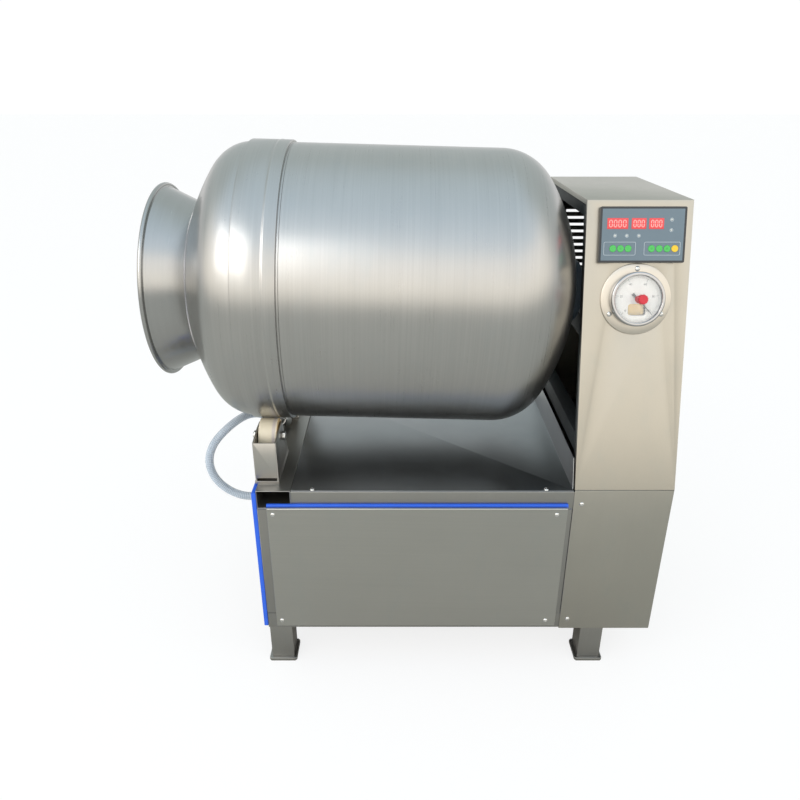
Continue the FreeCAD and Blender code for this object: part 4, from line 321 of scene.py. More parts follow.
@dataclass(frozen=True)
class Moulded:
    """Plastic, rubber or nylon: fine grain, slight unevenness of tone and, if asked, a used band."""

    name: str
    colour: Colour
    rough: float = 0.45
    grain: float = 1400.0
    relief: float = 0.00005
    uneven: float = 0.08
    second: Colour | None = None
    glow: float = 0.0
    clear: float = 1.0

    def make(self) -> bpy.types.Material:
        """Builds the material."""
        b = Bench(self.name)
        grain = b.noise((self.grain,) * 3, 2.0, 0.6, 5.0)
        cloud = b.noise((38.0,) * 3, 3.0, 0.55, 9.0)
        tone = (cloud - 0.5) * (6.0 * self.uneven) + (grain - 0.5) * 0.3 + 0.5
        base = b.blend(tone.clamped(), scaled(self.colour, 0.88), scaled(self.colour, 1.12))
        if self.second:
            base = b.blend(cloud.step(0.48, 0.66) * 0.7, base, self.second)
        b.bump(grain, self.relief, 0.5)
        if self.glow:
            self_lit = b.shader.inputs["Emission Strength"]
            self_lit.default_value = self.glow
            b.feed(b.shader.inputs["Emission Color"], base)
        if self.clear < 1.0:
            b.feed(b.shader.inputs["Alpha"], ((cloud - 0.5) * 0.12 + self.clear).clamped())
        return b.surface(Base_Color=base, Roughness=((grain - 0.5) * 0.12 + self.rough).clamped())


@dataclass(frozen=True)
class Tread:
    """Cast nylon roller: cream, with a polished, grey track and an orange-tan side."""

    name: str
    colour: Colour
    track: Colour
    side: Colour
    middle: float
    reach: float = 0.016

    def make(self) -> bpy.types.Material:
        """Builds the material."""
        b = Bench(self.name)
        along = b.add("ShaderNodeSeparateXYZ", {}, {0: b.place()}, output=0)
        marks = b.noise((600.0, 30.0, 30.0), 3.0, 0.6, 2.0)
        cloud = b.noise((60.0, 60.0, 60.0), 3.0, 0.6, 7.0)
        offset = along - self.middle
        worn = offset.step(0.006, 0.0125) * (1.0 - offset.step(0.0135, 0.0165)) * 0.85
        base = b.blend((cloud - 0.5) * 0.8 + 0.5, scaled(self.colour, 0.92), scaled(self.colour, 1.06))
        tread = b.blend((worn * (marks + 0.35)).clamped(), base, self.track)
        edge = b.blend(offset.step(self.reach + 0.0015, self.reach + 0.0028), tread, self.side)
        b.bump(marks, 0.00006, 0.5)
        return b.surface(Base_Color=edge, Roughness=((marks - 0.5) * 0.2 + 0.5).clamped())


class Finish(Enum):
    """Every finish of the machine by its part, with the record's slot that it belongs to."""

    DRUM = ("drum_steel", Steel("drum_brushed", (0.42, 0.415, 0.405), Grain.ROUND, 0.30, 0.20, 0.06,
                                0.00009))
    FLARE = ("flare_steel", Steel("mouth_satin", (0.40, 0.40, 0.395), Grain.ROUND, 0.24, 0.10, 0.08))
    # Painted shade: near-black for the weld groove and the joint before the band, with rust-coloured
    # patches.
    SEAM = ("drum_steel", Painted("weld_shadow", (0.035, 0.03, 0.028), 0.7, 0.0002, 700.0,
                                  (0.16, 0.07, 0.035), 0.3))
    BEAD = ("drum_steel", Painted("weld_metal", (0.36, 0.36, 0.37), 0.35, 0.0003, 500.0,
                                  (0.20, 0.17, 0.16), 1.0))
    INSIDE = ("drum_steel", Steel("drum_inside_satin", (0.34, 0.335, 0.325), Grain.ROUND, 0.42, 0.10, 0.10))
    FRAME = ("satin_frame", Steel("frame_satin", (0.30, 0.295, 0.28), Grain.UPRIGHT, 0.38, 0.08, 0.12))
    RAIL = ("satin_frame", Steel("rail_bright", (0.62, 0.64, 0.65), Grain.ACROSS, 0.40, 0.07, 0.10))
    # Painted reflection: the roller rail's brushed steel is coloured darker and browner to stand in for the
    # drum's dark underside that it reflects.
    ROLLER_RAIL = ("satin_frame", Steel("roller_rail_satin", (0.40, 0.37, 0.345), Grain.INWARD,
                                        0.36, 0.10, 0.16))
    FEET = ("satin_frame", Steel("feet_mill", (0.62, 0.63, 0.63), Grain.INWARD, 0.45, 0.08, 0.14))
    DECK = ("dark_deck", Steel("deck_sheet", (0.30, 0.31, 0.32), Grain.INWARD, 0.34, 0.05, 0.16))
    PANEL = ("brushed_panel", Steel("panel_brushed", (0.41, 0.405, 0.38), Grain.ACROSS, 0.33, 0.09, 0.05))
    COVER = ("column_steel", Steel("cover_satin", (0.40, 0.385, 0.345), Grain.UPRIGHT, 0.36, 0.05, 0.07))
    COLUMN = ("column_steel", Steel("column_satin", (0.42, 0.395, 0.345), Grain.UPRIGHT, 0.34, 0.05, 0.07))
    # Painted reflection: the column's top is coloured near-black to stand in for the dark surroundings that
    # it reflects.
    COLUMN_TOP = ("column_steel", Painted("column_top_dark", (0.022, 0.028, 0.031), 0.22, 0.00004, 600.0,
                                          (0.05, 0.055, 0.06)))
    # Painted shade: near-black for the faces inside the column, the back cover's inner face, the uprights
    # and the bearing rails, where shade falls.
    COLUMN_DARK = ("column_steel", Painted("column_primer", (0.014, 0.018, 0.021), 0.6, 0.0001, 700.0,
                                           (0.03, 0.034, 0.037)))
    BRACKET = ("bracket_steel", Steel("bracket_satin", (0.43, 0.415, 0.39), Grain.UPRIGHT, 0.34, 0.08, 0.14))
    # Painted shade: the brackets' side faces are coloured darker and browner than the same steel in front.
    BRACKET_SIDE = ("bracket_steel", Steel("bracket_side", (0.30, 0.25, 0.215), Grain.UPRIGHT, 0.30,
                                           0.12, 0.22))
    SCREW = ("bright_screw", Steel("screw_bright", (0.66, 0.66, 0.65), Grain.UPRIGHT, 0.24, 0.05, 0.10))
    BOLT = ("bright_screw", Steel("bolt_zinc", (0.50, 0.50, 0.48), Grain.UPRIGHT, 0.32, 0.08, 0.14))
    CAST = ("cast_housing", Painted("cast_blue_grey", (0.075, 0.10, 0.125), 0.48, 0.0004, 260.0))
    MOTOR = ("motor_paint", Painted("motor_grey", (0.17, 0.19, 0.20), 0.42, 0.0003, 420.0))
    SHAFT = ("drum_steel", Steel("shaft_ground", (0.50, 0.50, 0.50), Grain.ROUND, 0.22, 0.08, 0.06))
    BELT = ("belt_rubber", Moulded("belt_black", (0.018, 0.018, 0.019), 0.7, 900.0, 0.0002))
    BOWL = ("bowl_plastic", Moulded("bowl_smoke", (0.35, 0.42, 0.46), 0.2, 400.0, 0.00002, 0.04, clear=0.55))
    SEAL = ("blue_seal", Moulded("seal_blue", (0.012, 0.095, 0.60), 0.42, 500.0, 0.0002, 0.12))
    GLAND = ("black_plastic", Moulded("gland_black", (0.02, 0.021, 0.022), 0.42))
    UNIT = ("control_frame", Moulded("unit_black", (0.022, 0.025, 0.030), 0.34, 1800.0, 0.00004))
    MEMBRANE = ("control_membrane", Moulded("membrane_slate", (0.115, 0.160, 0.195), 0.38, 2200.0,
                                            0.00002, 0.03))
    PRINT = ("control_membrane", Moulded("print_pale", (0.52, 0.57, 0.60), 0.5, 2000.0, 0.00001, 0.02))
    WINDOW = ("red_window", Moulded("window_red", (0.56, 0.050, 0.055), 0.18, 2000.0, 0.00001, 0.05,
                                    glow=0.22))
    DIGIT = ("red_window", Moulded("digit_light", (1.0, 0.30, 0.28), 0.35, 1500.0, 0.00001, 0.03, glow=0.55))
    LAMP = ("lamp_lens", Moulded("lamp_frosted", (0.50, 0.52, 0.50), 0.22, 900.0, 0.00001, 0.06))
    GREEN = ("key_green", Moulded("key_green_silicone", (0.06, 0.42, 0.085), 0.42, 1500.0, 0.00003, 0.05))
    YELLOW = ("key_yellow", Moulded("key_yellow_silicone", (0.72, 0.47, 0.025), 0.42, 1500.0, 0.00003, 0.05))
    FLANGE = ("gauge_steel", Steel("flange_turned", (0.56, 0.52, 0.46), Grain.UPRIGHT, 0.34, 0.05, 0.08))
    BEZEL = ("gauge_steel", Steel("bezel_bright", (0.42, 0.42, 0.43), Grain.UPRIGHT, 0.14, 0.04, 0.05))
    GLASS = ("gauge_glass", Moulded("glass_clear", (0.9, 0.93, 0.95), 0.04, 300.0, 0.0, 0.01, clear=0.14))
    DIAL = ("dial_white", Moulded("dial_enamel", (0.72, 0.70, 0.66), 0.38, 1500.0, 0.00001, 0.03))
    MARK = ("dial_white", Moulded("dial_mark", (0.03, 0.03, 0.032), 0.5, 1500.0, 0.00001, 0.03))
    BRASS = ("movement_brass", Steel("movement_brass", (0.62, 0.47, 0.20), Grain.UPRIGHT, 0.30, 0.06, 0.10))
    NEEDLE = ("needle_black", Moulded("needle_black", (0.018, 0.018, 0.018), 0.4))
    KNOB = ("red_knob", Moulded("knob_red", (0.50, 0.014, 0.030), 0.28, 1200.0, 0.00004, 0.06))
    COLLAR = ("red_knob", Moulded("knob_collar", (0.03, 0.014, 0.016), 0.4))
    HOSE = ("clear_hose", Moulded("hose_clear", (0.48, 0.56, 0.66), 0.22, 500.0, 0.0001, 0.10, clear=0.62))
    HELIX = ("clear_hose", Moulded("hose_helix", (0.62, 0.68, 0.74), 0.30, 700.0, 0.00005, 0.06))
    # Painted shade: a dark tube inside the clear hose stands in for the shaded inside of the hose.
    BORE = ("clear_hose", Moulded("hose_bore", (0.10, 0.11, 0.15), 0.4, 600.0, 0.0001, 0.20))
    LID = ("lid_acrylic", Moulded("lid_clear", (0.72, 0.80, 0.84), 0.08, 300.0, 0.0, 0.02, clear=0.30))
    RUBBER = ("seal_rubber", Moulded("lid_seal_white", (0.50, 0.50, 0.48), 0.5, 700.0, 0.0001, 0.06))

    @property
    def slot(self) -> str:
        """The record's material slot."""
        return self.value[0]

    def material(self) -> bpy.types.Material:
        """The finish's material, made on first use."""
        maker = self.value[1]
        return bpy.data.materials.get(maker.name) or maker.make()


# ---------------------------------------------------------------- meshes
def smooth(mesh: bpy.types.Mesh, angle: float = 32.0) -> bpy.types.Mesh:
    """Smooth shading with sharp edges where faces meet at more than an angle, in degrees."""
    mesh.shade_smooth()
    mesh.set_sharp_from_angle(angle=math.radians(angle))
    return mesh


def new_object(name: str, mesh: bpy.types.Mesh) -> bpy.types.Object:
    """Links a mesh into the scene as an object at the origin."""
    made = bpy.data.objects.new(name, mesh)
    bpy.context.scene.collection.objects.link(made)
    return made


def settled(piece: bpy.types.Object) -> bpy.types.Object:
    """Turns an object with modifiers into a plain mesh object of the same name."""
    graph = bpy.context.evaluated_depsgraph_get()
    mesh = bpy.data.meshes.new_from_object(piece.evaluated_get(graph), depsgraph=graph)
    name = piece.name
    bpy.data.objects.remove(piece)
    return new_object(name, mesh)


def dress(piece: bpy.types.Object, body: str, finishes: Sequence[Finish],
          stands_for: Sequence[str] = ()) -> bpy.types.Object:
    """Gives a piece its materials, its body and the frame's nodes that it stands for.

    Args:
        piece: the finished object, in place.
        body: the body that it moves with.
        finishes: one finish for each material index of its faces.
        stands_for: nodes that it replaces.

    Returns:
        The same object.
    """
    piece.data.materials.clear()
    for finish in finishes:
        piece.data.materials.append(finish.material())
    if stands_for:
        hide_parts(*stands_for)
    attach(piece, body)
    LOG.info("%s: %d faces on %s", piece.name, len(piece.data.polygons) if piece.type == "MESH" else 0, body)
    return piece


def paint(node: str, finish: Finish) -> None:
    """Gives a node of the frame its material, with its shape as it is."""
    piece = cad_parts[node]
    piece.data.materials.clear()
    piece.data.materials.append(finish.material())
    LOG.info("%s: painted %s", node, finish.name)


def softened(node: str, name: str, edge: float, rounds: int = 2) -> bpy.types.Object:
    """A copy of a node with its sharp edges eased.

    Args:
        node: the frame's node.
        name: the new piece's name.
        edge: width of the eased edge, in millimetres.
        rounds: segments of the easing.

    Returns:
        The new object, not yet dressed.
    """
    shape = bmesh.new()
    shape.from_mesh(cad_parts[node].data)
    bmesh.ops.remove_doubles(shape, verts=shape.verts, dist=2e-6)
    bmesh.ops.dissolve_limit(shape, angle_limit=math.radians(0.6), verts=shape.verts, edges=shape.edges)
    mesh = bpy.data.meshes.new(name)
    shape.to_mesh(mesh)
    shape.free()
    made = new_object(name, mesh)
    bevel = made.modifiers.new("ease", "BEVEL")
    bevel.width = edge / 1000
    bevel.segments = rounds
    bevel.limit_method = "ANGLE"
    bevel.angle_limit = math.radians(38.0)
    bevel.use_clamp_overlap = True
    made = settled(made)
    smooth(made.data)
    return made


def ease(node: str, name: str, edge: float, body: str, finish: Finish, rounds: int = 2) -> bpy.types.Object:
    """Softens a node and dresses the result in one finish, in the node's place."""
    return dress(softened(node, name, edge, rounds), body, (finish,), (node,))


def sort_faces(piece: bpy.types.Object, index: int, choose: Callable[[Vector, Vector], bool]) -> None:
    """Gives the faces that a rule picks, from their centre and normal in metres, a material index."""
    for face in piece.data.polygons:
        if choose(face.center, face.normal):
            face.material_index = index


def arc(centre: tuple[float, float], radius: float, start: float, end: float,
        steps: int) -> list[tuple[float, float]]:
    """Points on an arc, angles in degrees from the first axis towards the second."""
    turn = [math.radians(start + (end - start) * i / steps) for i in range(steps + 1)]
    return [(centre[0] + radius * math.cos(t), centre[1] + radius * math.sin(t)) for t in turn]


def rounded(width: float, height: float, corner: float, middle: tuple[float, float] = (0.0, 0.0),
            steps: int = 5) -> list[tuple[float, float]]:
    """Outline of a rectangle with round corners."""
    across, up = width / 2 - corner, height / 2 - corner
    points: list[tuple[float, float]] = []
    for i, (sx, sz) in enumerate(((1, 1), (-1, 1), (-1, -1), (1, -1))):
        centre = (middle[0] + sx * across, middle[1] + sz * up)
        points += arc(centre, corner, 90.0 * i, 90.0 * (i + 1), steps)
    return points


class Blank:
    """A mesh in the making, in millimetres, in one of the machine's frames."""

    def __init__(self, place: Matrix) -> None:
        self.place = place
        self.shape = bmesh.new()
        self.ink = 0

    def _faces(self, loops: Sequence[Sequence[bmesh.types.BMVert]], closed: bool) -> None:
        """Skins neighbouring rings of vertices; a ring of one vertex is a pole."""
        pairs = len(loops) if closed else len(loops) - 1
        for k in range(pairs):
            near, far = loops[k], loops[(k + 1) % len(loops)]
            count = max(len(near), len(far))
            for i in range(count if count > 1 else 0):
                j = (i + 1) % count
                corners = ([near[i], near[j]] if len(near) > 1 else [near[0]])
                corners += ([far[j], far[i]] if len(far) > 1 else [far[0]])
                self.shape.faces.new(corners).material_index = self.ink

    def turn(self, outline: Outline, steps: int = 96, local: Matrix = Matrix.Identity(4),
             closed: bool = True, flutes: tuple[int, float] = (0, 0.0)) -> "Blank":
        """Adds a piece turned about the local X axis.

        Args:
            outline: closed outline of (along, radius).
            steps: divisions round the axis.
            local: where the turning axis lies in this blank's frame.
            closed: joins the outline's end to its start.
            flutes: number and depth of waves round the axis.

        Returns:
            This blank.
        """
        rings = []
        for along, radius in outline:
            if radius < 1e-6:
                rings.append([self.shape.verts.new(local @ Vector((along, 0, 0)))])
                continue
            ring = []
            for i in range(steps):
                angle = 2 * math.pi * i / steps
                wave = flutes[1] * (0.5 + 0.5 * math.cos(flutes[0] * angle)) if flutes[0] else 0.0
                reach = max(radius - wave, 0.1)
                spot = Vector((along, reach * math.cos(angle), reach * math.sin(angle)))
                ring.append(self.shape.verts.new(local @ spot))
            rings.append(ring)
        self._faces(rings, closed)
        return self

    def slab(self, outline: Outline, near: float, far: float, ease: float = 0.0,
             local: Matrix = Matrix.Identity(4)) -> "Blank":
        """Adds a plate: an outline in X and Z between two depths in Y, with its near rim eased."""
        middle = Vector((sum(p[0] for p in outline), sum(p[1] for p in outline))) / len(outline)
        rings = []
        sign = 1.0 if far > near else -1.0
        for depth, inset in ((far, 0.0), (near + sign * ease, 0.0), (near, ease)):
            ring = []
            for x, z in outline:
                out = Vector((x, z)) - middle
                shrunk = middle + out * max(0.0, 1.0 - inset / max(out.length, 1e-6))
                ring.append(self.shape.verts.new(local @ Vector((shrunk.x, depth, shrunk.y))))
            rings.append(ring)
            if ease == 0.0 and depth == near + sign * ease:
                break
        self._faces(rings, False)
        self.shape.faces.new(rings[0]).material_index = self.ink
        self.shape.faces.new(rings[-1]).material_index = self.ink
        return self

    def sweep(self, spine: Sequence[Vector], radius: float, sides: int = 16,
              loop: bool = False) -> "Blank":
        """Adds a round rod along a line of points, closed at its ends or in a loop."""
        count = len(spine)
        rings = []
        side = Vector((0, 0, 1))
        for i, spot in enumerate(spine):
            before = spine[(i - 1) % count] if loop or i else spine[0]
            after = spine[(i + 1) % count] if loop or i < count - 1 else spine[-1]
            along = (after - before).normalized()
            side = (side - along * side.dot(along))
            if side.length < 1e-4:
                side = along.orthogonal()
            side.normalize()
            other = along.cross(side)
            rings.append([self.shape.verts.new(spot + (side * math.cos(t) + other * math.sin(t)) * radius)
                          for t in (2 * math.pi * k / sides for k in range(sides))])
        self._faces(rings, loop)
        if not loop:
            self.shape.faces.new(rings[0]).material_index = self.ink
            self.shape.faces.new(rings[-1]).material_index = self.ink
        return self

    def use(self, index: int) -> "Blank":
        """Faces added from now on take this material index."""
        self.ink = index
        return self

    def piece(self, name: str, angle: float = 32.0) -> bpy.types.Object:
        """Places the mesh, points its faces outwards and makes the object."""
        bmesh.ops.transform(self.shape, matrix=self.place, verts=self.shape.verts)
        bmesh.ops.remove_doubles(self.shape, verts=self.shape.verts, dist=1e-7)
        bmesh.ops.recalc_face_normals(self.shape, faces=self.shape.faces)
        mesh = bpy.data.meshes.new(name)
        self.shape.to_mesh(mesh)
        self.shape.free()
        return new_object(name, smooth(mesh, angle))


# ---------------------------------------------------------------- geometry nodes
class Works:
    """A Geometry Nodes tree with named inputs that ends in Realize Instances and Set Material."""

    def __init__(self, name: str) -> None:
        self.tree = bpy.data.node_groups.new(name, "GeometryNodeTree")
        self.tree.interface.new_socket("Geometry", in_out="INPUT", socket_type="NodeSocketGeometry")
        self.tree.interface.new_socket("Geometry", in_out="OUTPUT", socket_type="NodeSocketGeometry")
        self.way_in = self.tree.nodes.new("NodeGroupInput")
        self.way_out = self.tree.nodes.new("NodeGroupOutput")
        self.values: dict[str, object] = {}

    def size(self, name: str, value: object, kind: str = "NodeSocketFloat") -> bpy.types.NodeSocket:
        """Adds a named input with its value and returns the socket to link from."""
        made = self.tree.interface.new_socket(name, in_out="INPUT", socket_type=kind)
        self.values[made.identifier] = value
        return next(s for s in self.way_in.outputs if s.identifier == made.identifier)

    def add(self, kind: str, settings: dict | None = None, sockets: dict | None = None,
            output: int | str = 0) -> bpy.types.NodeSocket:
        """Adds a node, as Bench.add does, and returns one of its outputs."""
        node = self.tree.nodes.new(kind)
        for key, value in (settings or {}).items():
            setattr(node, key, value)
        for key, value in (sockets or {}).items():
            if isinstance(value, bpy.types.NodeSocket):
                self.tree.links.new(value, node.inputs[key])
            else:
                node.inputs[key].default_value = value
        return node.outputs[output]

    def start(self) -> bpy.types.NodeSocket:
        """The geometry that the tree is given."""
        return self.way_in.outputs[0]

    def run(self, name: str, shape: bpy.types.Object, result: bpy.types.NodeSocket,
            finish: Finish) -> bpy.types.Object:
        """Ends the tree, runs it on an object and returns the result as a plain mesh object.

        Args:
            name: the new piece's name.
            shape: the object whose geometry goes in; it is used up.
            result: the geometry to realize.
            finish: the material set at the end.

        Returns:
            The new object, not yet dressed.
        """
        solid = self.add("GeometryNodeRealizeInstances", {}, {0: result})
        painted = self.add("GeometryNodeSetMaterial", {}, {"Geometry": solid, "Material": finish.material()})
        self.tree.links.new(painted, self.way_out.inputs[0])
        shape.name = name
        modifier = shape.modifiers.new("works", "NODES")
        modifier.node_group = self.tree
        for key, value in self.values.items():
            modifier[key] = value
        made = settled(shape)
        smooth(made.data)
        return made


def line_object(name: str, spine: Sequence[Vector], loop: bool) -> bpy.types.Object:
    """A line of points, in metres, as a mesh of edges for a tree to follow."""
    mesh = bpy.data.meshes.new(name)
    edges = [(i, i + 1) for i in range(len(spine) - 1)]
    if loop:
        edges.append((len(spine) - 1, 0))
    mesh.from_pydata([tuple(p) for p in spine], edges, [])
    return new_object(name, mesh)


def weld(name: str, spine: Sequence[Vector], width: float, loop: bool, finish: Finish) -> bpy.types.Object:
    """A weld bead: overlapping flat ripples laid along a line.

    Args:
        name: the new piece's name.
        spine: points in metres, in the row frame.
        width: bead width in millimetres.
        loop: whether the line closes on itself.
        finish: its finish.

    Returns:
        The new object, not yet dressed.
    """
    works = Works(name + "_works")
    size = works.size("Bead width", width / 1000)
    pitch = works.size("Ripple pitch", width * 0.45 / 1000)
    curve = works.add("GeometryNodeMeshToCurve", {}, {0: works.start()})
    points = works.add("GeometryNodeCurveToPoints", {"mode": "LENGTH"}, {"Curve": curve, "Length": pitch})
    turn = points.node.outputs["Rotation"]
    ripple = works.add("GeometryNodeMeshUVSphere", {}, {"Segments": 8, "Rings": 5, "Radius": 0.5})
    shrink = works.add("GeometryNodeTransform", {}, {0: ripple, "Scale": (0.62, 1.0, 0.55)})
    laid = works.add("GeometryNodeInstanceOnPoints", {},
                     {"Points": points, "Instance": shrink, "Rotation": turn, "Scale": size})
    return works.run(name, line_object(name + "_line", spine, loop), laid, finish)


# ---------------------------------------------------------------- drum
@dataclass
class Drum:
    """The drum with all that is welded to it: shell, band, mouth, hub and lifting flights."""

    radius: float = 280.3
    wall: float = 3.0
    front: float = -296.0
    rear: float = 196.0
    front_knuckle: float = 80.0
    front_turn: float = 56.0
    front_crown: float = 420.0
    rear_knuckle: float = 113.0
    rear_crown: float = 408.0
    neck: float = 158.0
    rim: float = 191.0
    flare: float = 73.0
    bead: float = 4.5
    band_width: float = 79.0
    band_thick: float = 4.7
    groove: float = 4.0
    groove_depth: float = 1.2
    rib_at: float = -240.5
    rib_width: float = 9.0
    rib_height: float = 0.7
    steps: int = 224
    place: Matrix = field(default_factory=LAYOUT.drum)

    def crown_point(self) -> tuple[float, float]:
        """Centre of the front head's crown arc."""
        turn = math.radians(self.front_turn)
        reach = self.front_crown - self.front_knuckle
        return (self.front + math.sin(turn) * reach,
                self.radius - self.front_knuckle - math.cos(turn) * reach)

    def neck_at(self) -> float:
        """Place along the axis where the mouth leaves the front head."""
        along, up = self.crown_point()
        return along - math.sqrt(self.front_crown ** 2 - (self.neck - up) ** 2)

    def head_arcs(self, inset: float) -> tuple[list[tuple[float, float]], list[tuple[float, float]]]:
        """Front and rear heads as points from the barrel outwards, moved in by an inset."""
        crown = self.crown_point()
        start = 90.0 + self.front_turn
        reach = math.degrees(math.asin((self.neck - inset - crown[1]) / (self.front_crown - inset)))
        front = arc((self.front, self.radius - self.front_knuckle), self.front_knuckle - inset,
                    90.0, start, 22)
        front += arc(crown, self.front_crown - inset, start, 180.0 - reach, 20)[1:]
        knuckle = self.radius - self.rear_knuckle
        reach = self.rear_crown - self.rear_knuckle
        back = self.rear - math.sqrt(reach ** 2 - knuckle ** 2)
        joint = math.degrees(math.asin(knuckle / reach))
        rear = arc((self.rear, knuckle), self.rear_knuckle - inset, 90.0, joint, 24)
        rear += arc((back, 0.0), self.rear_crown - inset, joint, 0.0, 26)[1:]
        return front, rear[:-1] + [(rear[-1][0], 0.0)]

    def shell(self) -> None:
        """Barrel and both heads as one thick, spun wall, with the weld groove beside the band coloured as
        painted shade.
        """
        front, rear = self.head_arcs(0.0)
        front_in, rear_in = self.head_arcs(self.wall)
        groove = self.front + self.band_width
        barrel = [(groove + self.groove * 1.3, self.radius), (groove + self.groove,
                self.radius - self.groove_depth)]
        barrel += [(groove + 0.6, self.radius - self.groove_depth), (groove, self.radius - 0.2)]
        blank = Blank(self.place)
        blank.turn(list(reversed(rear)) + barrel[:1], self.steps, closed=False)
        # The groove's faces take the painted shade.
        blank.use(1).turn(barrel, self.steps, closed=False)
        blank.use(0).turn(barrel[-1:] + [(self.front, self.radius)], self.steps, closed=False)
        blank.turn(front, self.steps, closed=False)
        blank.turn([front[-1], front_in[-1]], self.steps, closed=False)
        blank.use(2).turn(list(reversed(front_in)) + rear_in, self.steps, closed=False)
        dress(blank.piece("drum_shell"), "drum", (Finish.DRUM, Finish.SEAM, Finish.INSIDE),
              ("drum_barrel", "front_dome", "rear_dome"))

    def band(self) -> None:
        """Track band that the rollers carry: eased edges, a rolled rib and a ring of painted shade at the
        joint in front.
        """
        low, high = self.radius - 0.5, self.radius + self.band_thick
        ease, front, rear = 1.5, self.front, self.front + self.band_width
        rib = [(self.rib_at + self.rib_width * u,
                high + self.rib_height * math.sin(2 * math.pi * u)) for u in (-0.5, -0.35, -0.25, -0.15, 0.0,
                                                                              0.15, 0.25, 0.35, 0.5)]
        outline = [(front, low), (front, high - ease), (front + ease * 0.3, high - ease * 0.3),
                   (front + ease, high)] + rib
        outline += [(rear - ease, high), (rear - ease * 0.3, high - ease * 0.3), (rear,
                high - ease), (rear, low)]
        blank = Blank(self.place).turn(outline, self.steps)
        # A thin ring of painted shade at the band's front joint.
        blank.use(1).turn([(front - 0.1, low), (front - 0.1, self.radius + 0.7), (front - 1.5,
                self.radius + 0.15),
                           (front - 1.7, low)], self.steps)
        dress(blank.piece("track_band_rolled"), "drum", (Finish.DRUM, Finish.SEAM), ("track_band",))

    def mouth(self) -> None:
        """Flared mouth with its rolled lip, and the weld round the neck."""
        neck, rim_at = self.neck_at(), self.neck_at() - self.flare
        lip = (rim_at, self.rim + self.bead * 0.4)
        outer = [(neck + 1.5, self.neck - 1.0), (neck - 1.0, self.neck + 0.6), (rim_at + 5.2,
                self.rim - 2.0),
                 (rim_at + 4.4, self.rim - 0.6)]
        roll = arc(lip, self.bead, -25.0, 270.0, 26)
        inner = [(rim_at, self.rim - self.wall), (neck + 1.5, self.neck - self.wall - 0.7)]
        blank = Blank(self.place).turn(outer + roll + inner, self.steps)
        dress(blank.piece("mouth_cone"), "drum", (Finish.FLARE,), ("mouth_flare",))
        ring = [self.place @ Vector((neck - 0.6, (self.neck + 1.0) * math.cos(t),
                                     (self.neck + 1.0) * math.sin(t)))
                for t in (2 * math.pi * i / 300 for i in range(300))]
        bead = weld("neck_weld", ring, 4.2, True, Finish.BEAD)
        dress(bead, "drum", (Finish.BEAD,))

    def build(self) -> None:
        """Makes the drum's pieces."""
        self.shell()
        self.band()
        self.mouth()
        ease("rear_hub", "rear_hub_welded", 1.2, "drum", Finish.CAST)
        ease("drum_shaft", "drum_shaft_ground", 0.6, "drum", Finish.SHAFT)
        ease("drum_pulley", "drum_pulley_turned", 0.5, "drum", Finish.CAST)
        ease("drum_flights", "lifting_flights", 0.8, "drum", Finish.INSIDE)


# ---------------------------------------------------------------- lid
@dataclass
class Lid:
    """Clear lid inside the mouth: disc, seal, handles, port and its swivel."""

    face: float = -437.0
    thick: float = 12.0
    radius: float = 158.0
    rod: float = 5.0
    reach: float = 30.0
    length: float = 96.0
    apart: float = 92.0
    port: float = 26.0
    port_thick: float = 8.0
    bore: float = 7.05
    place: Matrix = field(default_factory=LAYOUT.drum)

    def handles(self) -> None:
        """Bent-rod handles with their feet, and the port's flange with its bolts."""
        blank = Blank(self.place)
        half, bend, grip = self.length / 2, 11.0, self.face - self.reach
        for side in (-1, 1):
            first = arc((grip + bend, -half + bend), bend, 270.0, 180.0, 8)
            spine = [(self.face, -half)] + first + [(x, -y) for x,
                    y in reversed(first)] + [(self.face, half)]
            blank.sweep([Vector((x, y, side * self.apart)) for x, y in spine], self.rod, 20)
            for end in (-half, half):
                foot = Matrix.Translation((0, end, side * self.apart))
                blank.turn([(self.face, 0), (self.face, 11.0), (self.face - 1.6, 11.0),
                            (self.face - 3.0, 7.5),
                            (self.face - 3.0, 0)], 40, foot)
        front = self.face - self.port_thick
        blank.turn([(self.face, self.bore), (self.face, self.port), (front + 1.5, self.port),
                    (front, self.port - 1.5), (front, self.bore)], 72)
        for i in range(4):
            angle = math.radians(45 + 90 * i)
            spot = Matrix.Translation((0, 18.5 * math.cos(angle), 18.5 * math.sin(angle)))
            blank.turn([(front, 0), (front, 3.0), (front - 1.4, 3.0), (front - 2.0, 2.2),
                        (front - 2.0, 0)], 24, spot)
        dress(blank.piece("lid_handles"), "lid", (Finish.BEZEL,), ("lid_fittings",))

    def build(self) -> None:
        """Makes the lid's pieces."""
        front, back = self.face, self.face + self.thick
        disc = Blank(self.place).turn([(front, self.bore), (front, self.radius - 1.5), (front + 1.5,
                self.radius),
                                       (back - 1.5, self.radius), (back, self.radius - 1.5),
                                       (back, self.bore)], 144)
        dress(disc.piece("lid_clear_disc"), "lid", (Finish.LID,), ("lid_disc",))
        ease("lid_seal", "lid_seal_channel", 1.2, "lid", Finish.RUBBER)
        self.handles()
        ease("vacuum_swivel", "swivel_elbow", 0.4, "swivel", Finish.SHAFT)


